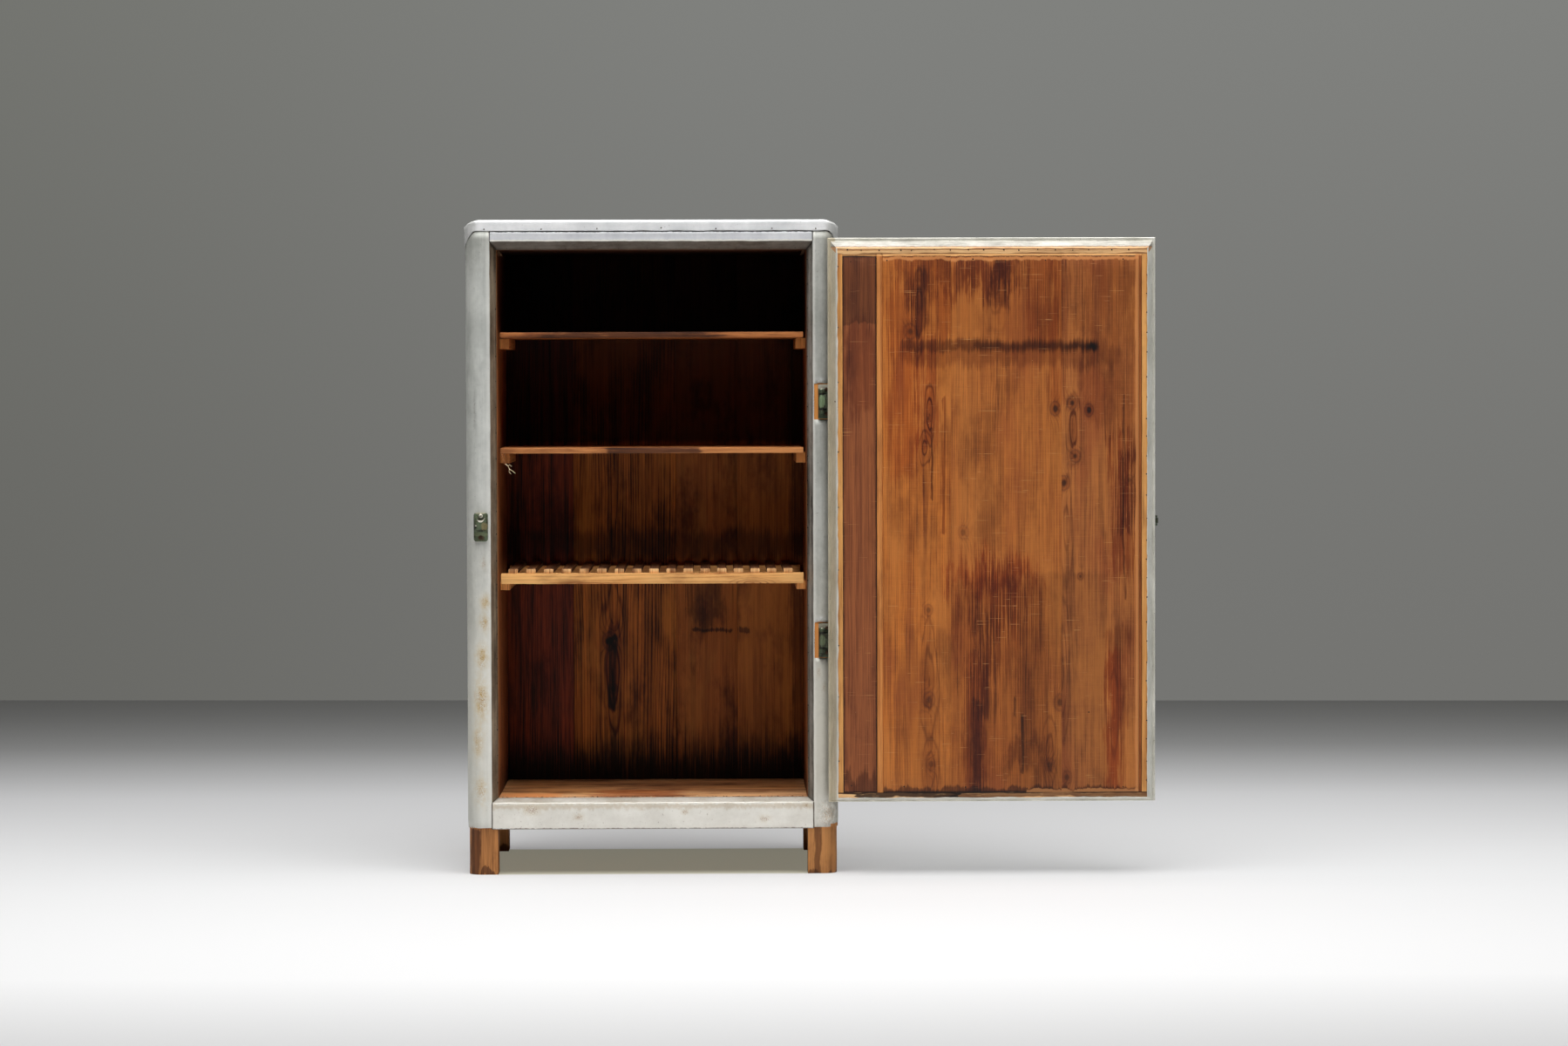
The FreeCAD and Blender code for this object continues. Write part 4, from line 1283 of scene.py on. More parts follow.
@dataclass(frozen=True)
class Lid:
    """The zinc lid cover, hammered down over the rounded corners."""

    half: float = 350.8
    front: float = -233.2
    back: float = 233.2
    top: float = 1228.8
    corner: float = 28.5
    drop: float = 8.6
    drop_run: float = 27.0
    soft: float = 6.0
    flange_low: float = 1178.2
    turn_start: float = 329.0
    limits: Triple = (350.9, 233.4, 1228.9)
    levels: int = 7
    finish: Zinc = Zinc("zinc_lid", (255, 255, 255), (220, 222, 223), 3.0, 0.2, 0.42, 1.2,
                        run_scale=(0.012, 0.05, 0.05), speck=0.4, bands=(
        # Painted shade: the rounded corners are darker where they turn away from the light.
        Band("X", -360, -328, (190, 190, 186), 0.8, 9.0, 5.0, False),
        Band("X", 330, 360, (190, 190, 186), 0.8, 9.0, 5.0, False),
    ))
    upper_finish: Zinc = Zinc("zinc_lid_top", (196, 198, 198), (160, 163, 163), 4.0, 0.4, 0.4, 1.2,
                              speck=0.5, rust_and_highlights=(
        RustOrHighlight((-180, -60, 1229), (70, 50, 30), 0.35), RustOrHighlight((130, 60, 1229), (60, 60, 30), 0.4),
        RustOrHighlight((260, -150, 1229), (40, 30, 30), 0.4),
    ))

    def outline_gap(self, x: float, y: float) -> float:
        """How far a place in plan is inside the lid's edge."""
        side = abs(x) - (self.half - self.corner)
        fore = self.front + self.corner - y
        if side > 0 and fore > 0:
            return self.corner - math.hypot(side, fore)
        return min(self.half - abs(x), y - self.front)

    def height(self, x: float, y: float) -> float:
        """The height of the lid's face over a place in plan."""
        fall = max(0.0, abs(x) - (self.half - self.drop_run)) / self.drop_run
        level = self.top - self.drop * fall ** 1.25
        near = 1 - limited(self.outline_gap(x, y) / self.soft, 0.0, 1.0)
        return level - self.soft * 0.75 * (1 - math.sqrt(1 - near * near))

    def lower_edge(self, x: float, y: float) -> float:
        """How low the cover hangs at a place on its outline."""
        if y > self.front + self.corner + 1:
            return self.flange_low if abs(x) > self.half - 2 else LID_BOTTOM
        share = limited((abs(x) - self.turn_start) / (self.half - self.turn_start), 0.0, 1.0)
        return LID_BOTTOM - (LID_BOTTOM - self.flange_low) * share ** 1.8

    def dented(self, place: Vector) -> Vector:
        """A place on the cover after years of knocks."""
        x, y, z = (value / MM for value in place)
        corner = limited((abs(x) - 296) / 40, 0.0, 1.0) * limited((-140 - y) / 60, 0.0, 1.0)
        amount = 0.22 + 1.5 * corner
        shift = noise.noise_vector(place * 55 + Vector((3, 7, 1))) * amount
        if corner > 0.4 and z < self.top - 8:
            angle = math.atan2(self.front + self.corner - y, abs(x) - self.half + self.corner)
            crease = 0.5 * math.sin(angle * 17) * (corner - 0.4)
            shift += Vector((math.copysign(1, x), -1, 0)) * crease
        side, fore, top = self.limits
        return point(limited(x + shift[0], -side, side), limited(y + shift[1], -fore, fore),
                     min(z + shift[2] * 0.6, top))

    def build(self) -> None:
        """Makes the cover and its nails."""
        bm = bmesh.new()
        bmesh.ops.create_grid(bm, x_segments=104, y_segments=46, size=1.0)
        reach = max(vert.co.x for vert in bm.verts)
        run = self.back - self.front
        for vert in bm.verts:
            x = vert.co.x / reach * self.half
            y = self.front + run * ((vert.co.y / reach + 1) / 2) ** 1.8
            side = (abs(x) - (self.half - self.corner)) / self.corner
            fore = (self.front + self.corner - y) / self.corner
            if side > 0 and fore > 0:
                bent = side * math.sqrt(1 - fore * fore / 2), fore * math.sqrt(1 - side * side / 2)
                x = math.copysign(self.half - self.corner + self.corner * bent[0], x)
                y = self.front + self.corner - self.corner * bent[1]
            vert.co = point(x, y, self.height(x, y))
        edges = rim_of(bm)
        for i in range(self.levels):
            fresh, edges = extruded(bm, edges)
            for vert in fresh:
                x, y = vert.co.x / MM, vert.co.y / MM
                top = self.height(x, y)
                low = self.lower_edge(x, y) + 0.7 * noise.noise(Vector((x, y, 0)) * 0.05)
                vert.co.z = (top + (low - top) * (i + 1) / self.levels) * MM
        for vert in bm.verts:
            vert.co = self.dented(vert.co)
        facing(bm, lambda place: Vector((place.x, place.y, (place.z - 1.19) * 30)))
        sheet("lid_cover", bm, (self.finish, self.upper_finish), 0.9, "top_cap", 50,
              lambda face: 1 if face.normal.z > 0.93 else 0)
        rng = random.Random(4)
        places = [point(x + rng.uniform(-6, 6), self.front - 0.1, 1213 + rng.uniform(-2, 1))
                  for x in (-309, -204, -96, 14, 118, 226, 312)]
        driven("lid_nails", domes(places, 1.7, 1.0, TOWARDS_EYE, 3), NAIL_BROWN)


@dataclass(frozen=True)
class Cladding:
    """The zinc on the posts, the header and the sill, folded into the opening."""

    fold_wave: float = 0.7
    left_face: Zinc = Zinc("zinc_left", (222, 223, 217), (158, 161, 155), 7.0, 0.25, bands=(
        # Painted light: the lower part is lighter, as if lit from the floor.
        Band("Z", 60, 560, (246, 242, 230), 0.55, 260.0, 60.0),
        Band("Z", 1150, 1230, (196, 196, 192), 0.6, 40.0, 10.0, False),
        # Painted shade on the rounded corner, darker where it turns away.
        Band("X", -360, -330, (206, 206, 202), 0.4, 14.0, 2.0, False),
        # A painted highlight along the fold.
        Band("X", -309, -302, (255, 253, 246), 0.25, 3.0, 1.5),
    ), rust_and_highlights=(
        RustOrHighlight((-332, -230, 870), (3, 14, 46), 0.5, (120, 118, 112), 0.8, (96, 84, 70)),
        *(RustOrHighlight((x, -231, z), (wide, 12, tall), share, (208, 174, 96), 1.0, (182, 142, 72))
          for x, z, wide, tall, share in (
              (-313, 513, 11, 16, 0.7), (-315, 474, 11, 19, 0.7), (-320, 410, 14, 26, 0.8),
              (-322, 330, 15, 42, 0.9), (-328, 250, 12, 36, 0.6), (-323, 158, 15, 30, 0.55))),
        RustOrHighlight((-316, -232, 585), (9, 12, 18), 0.35),
    ))
    right_face: Zinc = Zinc("zinc_right", (206, 206, 199), (146, 147, 139), 11.0, 0.25, bands=(
        # Painted light: the lower part is lighter, as if lit from the floor.
        Band("Z", 60, 460, (240, 232, 214), 0.55, 260.0, 60.0),
        # Painted shade in the groove by the door and on the rounded corner.
        Band("X", 324, 352, (168, 164, 154), 0.7, 9.0, 2.0, False),
        # A painted highlight along the fold.
        Band("X", 302, 307, (250, 248, 240), 0.4, 2.5, 1.5),
    ), rust_and_highlights=(
        # Painted highlights on the swollen sheet above the two cut-outs.
        RustOrHighlight((316, -234, 927), (11, 9, 6), 1.0, (255, 255, 252), 1.0, (220, 220, 214)),
        RustOrHighlight((318, -234, 479), (13, 9, 6), 1.0, (255, 255, 252), 1.0, (220, 220, 214)),
        RustOrHighlight((304.5, -233, 888), (2.6, 6, 44), 1.0, (240, 236, 226), 0.9, (150, 120, 90)),
        RustOrHighlight((304.5, -233, 440), (2.6, 6, 44), 1.0, (240, 236, 226), 0.9, (150, 120, 90)),
        RustOrHighlight((312, -232, 380), (5, 12, 12), 0.4), RustOrHighlight((322, -232, 350), (5, 12, 9), 0.35),
        # Painted light on the foot of the rounded corner, with tan specks.
        RustOrHighlight((328, -228, 112), (26, 24, 34), 0.8, (255, 254, 246), 1.3, (196, 164, 124)),
    ))
    # The jambs' splays are darker than the faces: partly dirt and oxide where the door meets them,
    # partly painted shade where they turn into the opening.
    left_jamb: Zinc = Zinc("zinc_left_jamb", (160, 143, 120), (78, 64, 50), 15.0, 0.3, 0.55, 1.2,
                           1.1, (0.30, 0.30, 0.008), 0.8)
    right_jamb: Zinc = Zinc("zinc_right_jamb", (160, 156, 148), (72, 66, 58), 17.0, 0.3, 0.5, 1.3,
                            1.3, (0.36, 0.36, 0.006), 0.8, bands=(
        Band("X", 289, 292.2, (104, 84, 64), 0.7, 0.8, 1.0, False),
        Band("X", 296.5, 298.2, (196, 190, 178), 0.5, 0.8, 1.5),
    ))
    header_face: Zinc = Zinc("zinc_header", (230, 231, 233), (188, 190, 196), 19.0, 0.25,
                             run_scale=(0.010, 0.06, 0.06), speck=0.3, bands=(
        # A painted shadow under the lid's edge.
        Band("Z", 1205.6, 1210.0, (40, 36, 32), 0.85, 0.8, 2.2),
        # A painted highlight along the front fold.
        Band("Z", 1188.0, 1191.4, (255, 252, 240), 0.9, 0.9, 1.6),
        Band("X", -304.0, -301.6, (50, 44, 38), 0.85, 0.5, 0.6),
        Band("X", 301.6, 304.0, (50, 44, 38), 0.85, 0.5, 0.6),
    ))
    # Painted shade: the header's splay, which faces down, is dark.
    header_splay: Zinc = Zinc("zinc_header_splay", (126, 121, 112), (74, 66, 56), 23.0, 0.3, 0.55,
                              1.1, 0.6, (0.03, 0.1, 0.1), 0.8)
    sill_face: Zinc = Zinc("zinc_sill", (250, 247, 238), (222, 217, 206), 27.0, 0.2,
                           run_scale=(0.02, 0.05, 0.05), speck=0.55, speck_colour=(120, 84, 50),
                           bands=(
        Band("Z", 82.0, 87.0, (96, 74, 54), 0.8, 1.2, 3.0),
        Band("Z", 124.0, 132.0, (214, 196, 168), 0.5, 4.0, 8.0, False),
        Band("X", -304.0, -301.2, (70, 48, 32), 0.9, 0.6, 0.8),
        Band("X", 301.2, 304.0, (70, 48, 32), 0.9, 0.6, 0.8),
    ), rust_and_highlights=(
        RustOrHighlight((-228, -232, 121), (22, 14, 12)), RustOrHighlight((-140, -232, 108), (14, 14, 9), 0.7),
        RustOrHighlight((60, -232, 117), (10, 14, 8), 0.6), RustOrHighlight((210, -232, 104), (16, 14, 9), 0.6),
        RustOrHighlight((288, -232, 128), (8, 14, 8), 0.7),
    ))
    sill_splay: Zinc = Zinc("zinc_sill_splay", (232, 228, 218), (184, 172, 150), 31.0, 0.3,
                            speck=0.8, speck_colour=(96, 66, 40), run_scale=(0.03, 0.1, 0.1))

    @staticmethod
    def side_section() -> list[Span]:
        """Plan of the right sheet, from the jamb's inner edge round the corner to the back."""
        front = [(SPLAY_HALF, SPLAY_BACK), (295.0, -216.0), (299.0, -224.0), (301.4, -228.8),
                 (302.4, -230.9), (303.2, -231.7), (HOLE_INNER, FRONT), (308.0, FRONT),
                 (313.0, FRONT), (318.0, FRONT)]
        x, y, radius, count = 322.0, -205.0, 27.0, 12
        angles = [math.pi / 2 * i / count for i in range(count + 1)]
        corner = [(x + radius * math.sin(angle), y - radius * math.cos(angle)) for angle in angles]
        corner[5] = (HOLE_OUTER, y - math.sqrt(radius ** 2 - (HOLE_OUTER - x) ** 2))
        return front + corner + [(BODY_HALF, -190.0 + 42.2 * i) for i in range(11)]

    def side_sheet(self, side: int, seed: float, cuts: Sequence[Span]) -> BMesh:
        """The sheet of one side.

        Args:
            side: 1 for the right side, -1 for the left.
            seed: Moves its dents.
            cuts: The low and high ends of its cut-outs.

        Returns:
            The open sheet.
        """
        heights = {CLADDING_BOTTOM + (LID_BOTTOM - CLADDING_BOTTOM) * i / 70 for i in range(71)}
        for pair in cuts:
            heights = {z for z in heights if min(abs(z - end) for end in pair) > 5} | set(pair)
        levels = sorted(heights)
        section = [point(side * x, y, levels[0]) for x, y in self.side_section()]
        steps = [point(0, 0, high - low) for low, high in zip(levels, levels[1:])]
        bm = swept(section, steps)
        hole = []
        for face in bm.faces:
            x, y, z = face.calc_center_median() / MM
            on_front = HOLE_INNER < abs(x) < HOLE_OUTER and y < FRONT + 12
            if on_front and any(low < z < high for low, high in cuts):
                hole.append(face)
        bmesh.ops.delete(bm, geom=hole, context="FACES")
        for vert in bm.verts:
            vert.co = self.side_dented(vert.co, side, seed, cuts)
        bmesh.ops.dissolve_degenerate(bm, edges=bm.edges, dist=1e-5)
        facing(bm, lambda place: Vector((place.x, place.y - 0.1, 0)))
        return bm

    def side_dented(self, place: Vector, side: int, seed: float, cuts: Sequence[Span]) -> Vector:
        """A place on a side sheet, mitred in the opening and dented.

        Args:
            place: The place in metres.
            side: 1 for the right side, -1 for the left.
            seed: Moves the dents.
            cuts: The low and high ends of the cut-outs, over which the sheet swells.

        Returns:
            The new place.
        """
        x, y, z = (value / MM for value in place)
        out = abs(x)
        if out < FOLD_HALF and y < SPLAY_BACK + 1:
            into = (FOLD_HALF - out) / (FOLD_HALF - SPLAY_HALF)
            low = SILL_FOLD + (SILL_BACK - SILL_FOLD) * into
            high = HEADER_FOLD - (HEADER_FOLD - HEADER_BACK) * into
            z = limited(z, low, high)
        inward = 0.45 * (noise.noise(Vector((x * 0.012 + seed, y * 0.012, z * 0.009))) - 0.6)
        if y < FRONT + 10:
            y -= inward
        elif out > 340:
            out += inward
        near_fold = max(0.0, 1 - abs(out - FOLD_HALF) / 5)
        out += self.fold_wave * noise.noise(Vector((seed * 2.0, 1.0, z * 0.035))) * near_fold
        for low, high in cuts:
            above = z - high
            if FOLD_HALF < out < 340 and y < -221 and -0.5 < above < 16:
                crown = math.exp(-((out - 315) / 11) ** 2) * limited((out - 307.5) / 5, 0.0, 1.0)
                swell = 2.6 * crown * (1 - above / 16) ** 1.5
                y -= swell * (0.7 + 0.6 * noise.noise(Vector((x * 0.2, 0, z * 0.2))))
                z += 1.6 * crown * (1 - above / 16)
            if low - 1 < z < high + 1 and abs(out - HOLE_INNER) < 0.6:
                y -= 0.25 + 0.25 * noise.noise(Vector((0, 3, z * 0.12)))
        if z < 90:
            z += 1.4 * max(-0.2, noise.noise(Vector((x * 0.09, y * 0.09, seed))))
        if z < 100 and out > 335:
            curl = (100 - z) / 12
            out -= curl * 0.7
            y += curl * 0.8
        return point(math.copysign(out, x), y, z)

    @staticmethod
    def cross_sheet(section: Sequence[Span], fold: float, seed: float,
                    wave: float) -> BMesh:
        """The header's or the sill's sheet, narrower where it is splayed.

        Args:
            section: Its section in Y and Z.
            fold: The height of its front fold.
            seed: Moves its dents.
            wave: How wavy the fold is, in millimetres.

        Returns:
            The open sheet.
        """
        count = 120
        start = [point(-FOLD_HALF, y, z) for y, z in section]
        bm = swept(start, [point(2 * FOLD_HALF / count, 0, 0)] * count)
        for vert in bm.verts:
            x, y, z = (value / MM for value in vert.co)
            behind = max(0.0, y - FRONT) / (SPLAY_BACK - FRONT)
            near = math.exp(-((z - fold) / 4.0) ** 2) * (1 if y < -226 else 0.3)
            ripple = noise.noise(Vector((x * 0.028, seed, 0)))
            ripple += 0.5 * noise.noise(Vector((x * 0.09, seed, 4)))
            swell = noise.noise(Vector((x * 0.012, z * 0.03, seed)))
            y += 0.25 * (swell + 0.6) - 0.25 * near * (ripple + 0.1)
            z += wave * ripple * near
            if abs(z - fold) < 16 and y > FRONT + 1:
                x *= 1 - behind * (FOLD_HALF - SPLAY_HALF) / FOLD_HALF
                y += 0.3 * noise.noise(Vector((x * 0.06, y * 0.1, seed + 3)))
            vert.co = point(x, y, z)
        return bm

    @staticmethod
    def splayed(face: Face) -> int:
        """1 on the splayed jamb and 0 elsewhere."""
        middle = face.calc_center_median() / MM
        return 1 if abs(middle.x) < FOLD_HALF - 0.4 and middle.y > FRONT + 0.2 else 0

    @staticmethod
    def behind(fold: float, up: float) -> Callable[[Face], int]:
        """Tells the splay behind a fold, on the side that up points to, from the front.

        Args:
            fold: The height of the fold.
            up: Above 0 where the splay lies over the fold, below 0 where it lies under it.

        Returns:
            What gives 1 for faces of the splay and 0 for the others.
        """
        def chosen(face: Face) -> int:
            """1 behind the fold and 0 on the front."""
            middle = face.calc_center_median() / MM
            return 1 if (middle.z - fold) * up > 0 and middle.y > FRONT + 0.6 else 0

        return chosen

    def build(self) -> None:
        """Makes the four sheets and their tacks."""
        cuts = [(height - HOLE_HALF, height + HOLE_HALF) for height in HINGE_HEIGHTS]
        for node, side, seed, finishes, holes in (
            ("left_cladding", -1, 5.0, (self.left_face, self.left_jamb), []),
            ("right_cladding", 1, 9.0, (self.right_face, self.right_jamb), cuts),
        ):
            sheet(node + "_sheet", self.side_sheet(side, seed, holes), finishes, 0.8, node, 40,
                  self.splayed)
        header = [(FRONT, z) for z in (1207.9, 1202.0, 1196.0, 1192.0)]
        header += [(-232.1, 1189.8), (-231.7, 1188.7), (-230.6, 1187.6), (-227.0, 1185.3),
                   (-221.0, 1181.6), (-214.0, 1177.2), (SPLAY_BACK, HEADER_BACK)]
        sill = [(-216.0, 85.1), (-226.0, 85.1), (-231.2, 85.3)]
        sill += [(FRONT, z) for z in (86.4, 95.0, 106.0, 118.0, 128.0)]
        sill += [(-232.1, 133.4), (-231.7, 134.7), (-230.4, 135.7), (-226.0, 137.1),
                 (-220.0, 139.1), (-214.0, 141.1), (SPLAY_BACK, SILL_BACK)]
        for name, section, fold, seed, wave, finishes, up in (
            ("header", header, HEADER_FOLD, 2.0, 0.9, (self.header_face, self.header_splay), -0.5),
            ("sill", sill, SILL_FOLD, 6.0, 0.5, (self.sill_face, self.sill_splay), 0.5),
        ):
            bm = self.cross_sheet(section, fold, seed, wave)
            facing(bm, lambda place, rise=up: Vector((0, -1, rise)))
            sheet(name + "_sheet", bm, finishes, 0.8, name + "_cladding", 50, self.behind(fold, up))
        self.tacks()

    @staticmethod
    def tacks() -> None:
        """Drives the tacks along the jambs' inner edges and the header's splay."""
        rng = random.Random(8)
        for side, name in ((-1, "left"), (1, "right")):
            places = []
            z = 172.0
            while z < 1160:
                places.append(point(side * (292.6 + rng.uniform(-0.4, 0.5)), -211.6, z))
                z += 46.5 + rng.uniform(-5, 5)
            way = Vector((-side * 24, -12, 0)).normalized()
            driven(name + "_jamb_tacks", domes(places, 1.5, 0.5, way, 5 + side))
        places = [point(x + rng.uniform(-9, 9), -211.5, 1175.8) for x in range(-270, 271, 54)]
        driven("header_tacks", domes(places, 1.5, 0.5, Vector((0, -15, -24)).normalized(), 12))


# ---------------------------------------------------------------------------
# Wood of the carcass
# ---------------------------------------------------------------------------
# Painted shade inside the compartments: the back boards are dark low down, and darker in the upper
# compartments and just over the slatted shelf.
COMPARTMENT_SHADE = (
    StainOrShade((-400, 400), (-200, 228), (22, 16, 12), 0.98, 96, 0.22, 0.6),
    StainOrShade((-400, 400), (805, 1400), (120, 100, 88), 0.9, 12, 0.1, 0.2),
    StainOrShade((-400, 400), (578, 636), (126, 106, 92), 0.7, 24, 0.3, 0.8),
    StainOrShade((-400, 400), (1020, 1400), (140, 130, 124), 0.9, 12, 0.1, 0.2),
)


@dataclass(frozen=True)
class Timber:
    """Posts, linings, back boards, floor and ceiling."""

    foot: Pine = Pine(
        "pine_post", Grain.UPRIGHT_FRONT, (198, 134, 76), (104, 56, 26), 3.0, (260.0, -200.0),
        ring=4.6, figure=0.6, blotch=0.9, gold=(214, 150, 88), stains_and_shade=(
            StainOrShade((-341, -324), (-10, 92), (110, 78, 60), 0.8, 4, 0.5),
            StainOrShade((304, 316), (-10, 92), (110, 78, 60), 0.7, 3, 0.5),
            # Bare wood at the hinge cut-outs; its light orange is partly painted light, as that
            # wood lies in shade.
            StainOrShade((300, 345), (850, 925), (246, 164, 84), 0.8, 3, 0.1, 0.3, True),
            StainOrShade((300, 345), (402, 477), (240, 156, 80), 0.8, 3, 0.1, 0.3, True),
            StainOrShade((-352, 352), (-12, 7), (110, 84, 70), 0.7, 4, 0.6),
        ))
    lining: Pine = Pine(
        "pine_lining", Grain.UPRIGHT_SIDE, (158, 92, 48), (78, 38, 18), 5.0, (60.0, 250.0), stains_and_shade=(
            # Painted shade: the linings are dark low down and in the top compartment.
            StainOrShade((-400, 400), (-200, 190), (80, 62, 52), 0.9, 120, 0.25, 0.5),
            StainOrShade((-400, 400), (1020, 1400), (150, 130, 120), 0.8, 12, 0.1, 0.2)))
    back: tuple[Pine, ...] = (
        Pine("pine_back_1", Grain.UPRIGHT_FRONT, (144, 56, 20), (42, 12, 5), 11.0, (-300.0, 200.0),
             streak=0.95, blotch=0.9, rim=(-300.0, -160.0, 100.0, 1200.0),
             stains_and_shade=(StainOrShade((-300, -268), (120, 1100), (190, 200, 120), 0.6, 10, 0.4, 0.7), *COMPARTMENT_SHADE)),
        Pine("pine_back_2", Grain.UPRIGHT_FRONT, (196, 112, 40), (48, 18, 5), 13.0, (-80.0, 186.0),
             0.03, 5.6, 1.0, 0.8, 0.9, (206, 128, 50), threads=0.3,
             knots=(Knot(-89, 416, 8, 1.0), Knot(-84, 322, 5, 0.9)),
             flames=(Flame(-85, 350, 11, 66, 1.0, 1.1, 1.0),
                     Flame(-84, 330, 20, 170, 0.8, 1.6, 0.2)),
             stains_and_shade=(StainOrShade((-102, -74), (410, 424), (16, 9, 6), 0.97, 5, 0.3, 0.3),
                     StainOrShade((-94, -76), (280, 410), (40, 24, 18), 0.9, 7, 0.4, 1.2), *COMPARTMENT_SHADE)),
        Pine("pine_back_3", Grain.UPRIGHT_FRONT, (182, 104, 42), (92, 46, 14), 17.0, (180.0, 220.0),
             threads=0.22, figure=0.25, streak=0.6, blotch=1.0, gold=(182, 118, 52),
             stains_and_shade=(StainOrShade((70, 152), (433, 441), (60, 42, 34), 0.85, 4, 0.10, 1.4),
                     StainOrShade((56, 140), (440, 560), (150, 150, 120), 0.7, 30, 1.0, 0.9), *COMPARTMENT_SHADE)),
        Pine("pine_back_4", Grain.UPRIGHT_FRONT, (188, 110, 42), (96, 48, 14), 19.0, (60.0, 220.0),
             threads=0.22, figure=0.25, streak=0.6, blotch=0.9, gold=(200, 122, 50),
             stains_and_shade=(StainOrShade((162, 186), (431, 442), (84, 62, 54), 0.7, 4, 0.15, 1.4),
                     StainOrShade((264, 300), (100, 1100), (120, 90, 74), 0.7, 16, 0.6, 1.0), *COMPARTMENT_SHADE)),
    )
    floor: Pine = Pine(
        "pine_floor", Grain.LEVEL_BOARD, (250, 196, 142), (156, 102, 64), 23.0, (-400.0, 100.0),
        streak=1.0, blotch=0.9, gold=(240, 176, 108), stains_and_shade=(
            StainOrShade((-214, -120), (-300, -170), (232, 138, 66), 0.6, 30, 0.8, 1.0, True),
            StainOrShade((-214, -60), (-110, 60), (200, 150, 122), 0.8, 30, 0.9, 1.4),
            # Painted shade: the floor board is darker towards the back.
            StainOrShade((-120, 170), (-300, 300), (206, 186, 166), 0.9, 60, 0.6, 0.6),
            StainOrShade((-214, -203), (-300, 300), (84, 54, 36), 0.9, 3, 0.9, 0.8),
        ))
    # Painted shade: the ceiling is drawn dark because it lies in shade.
    ceiling: Pine = Pine(
        "pine_ceiling", Grain.LEVEL_BOARD, (70, 38, 20), (32, 16, 8), 29.0, (0.0, 1100.0))
    rough: Pine = Pine(
        "pine_frame", Grain.LEVEL_RAIL, (150, 96, 54), (92, 54, 28), 31.0, (600.0, 0.0))
    outside: Pine = Pine(
        "pine_sheathing", Grain.UPRIGHT_FRONT, (156, 106, 64), (88, 54, 32), 37.0, (0.0, 200.0),
        ring=4.6, blotch=0.7, roughness=0.75, cell=139.2, jointed=True, saw=0.4)

    def build(self) -> None:
        """Makes every board of the carcass."""
        post, lining, rough = ([finish.material()]
                               for finish in (self.foot, self.lining, self.rough))
        for i, side in enumerate(("left", "right")):
            node = "front_%s_post" % side
            wooden(node, copied(node, 1.0, 0.5, i + 2.0, Axis.Z, 30), post)
            node = "rear_%s_post" % side
            wooden(node, board(*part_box(node), Axis.Z, 1.2, 0.6, i + 7.0), post)
            node = "%s_lining" % side
            wooden(node, board(*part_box(node), Axis.Z, 0.5, 0.3, i + 11.0), lining)
        for i, finish in enumerate(self.back):
            node = "back_board_%d" % (i + 1)
            wooden(node, board(*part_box(node), Axis.Z, 1.0, 0.6, i + 21.0), [finish.material()])
        wooden("floor_board", board(*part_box("floor_board"), Axis.X, 1.2, 0.6, 31.0),
               [self.floor.material()], label="floor")
        wooden("ceiling_board", board(*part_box("ceiling_board"), Axis.X, 0.8, 0.4, 33.0),
               [self.ceiling.material()], label="ceiling")
        self.sheathing()
        for node in ("header_rail", "sill_rail", "rear_rails", "left_side_rails",
                     "right_side_rails", "left_side_boards", "right_side_boards"):
            dress(node, rough[0])
        wooden("top_board", self.lid_board(), rough)

    @staticmethod
    def lid_board() -> BMesh:
        """The board under the lid, drawn smaller so that the cover's soft edges clear it."""
        top = copied("top_board", 1.0)
        bmesh.ops.scale(top, vec=(0.985, 0.985, 1.0), verts=top.verts)
        for vert in top.verts:
            if vert.co.z / MM > 1212:
                vert.co.z -= 5 * MM
        return top

    def sheathing(self) -> None:
        """Makes the upright boards that close the back."""
        low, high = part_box("rear_sheathing")
        count = 5
        edges = [low.x + (high.x - low.x) / count * i for i in range(count + 1)]
        boards = [
            board(Vector((left, low.y, low.z)), Vector((right, high.y, high.z)), Axis.Z, 1.2, 0.8,
                  i * 3.0 + 41)
            for i, (left, right) in enumerate(zip(edges, edges[1:]))
        ]
        wooden("rear_sheathing", joined_meshes(boards), [self.outside.material()])


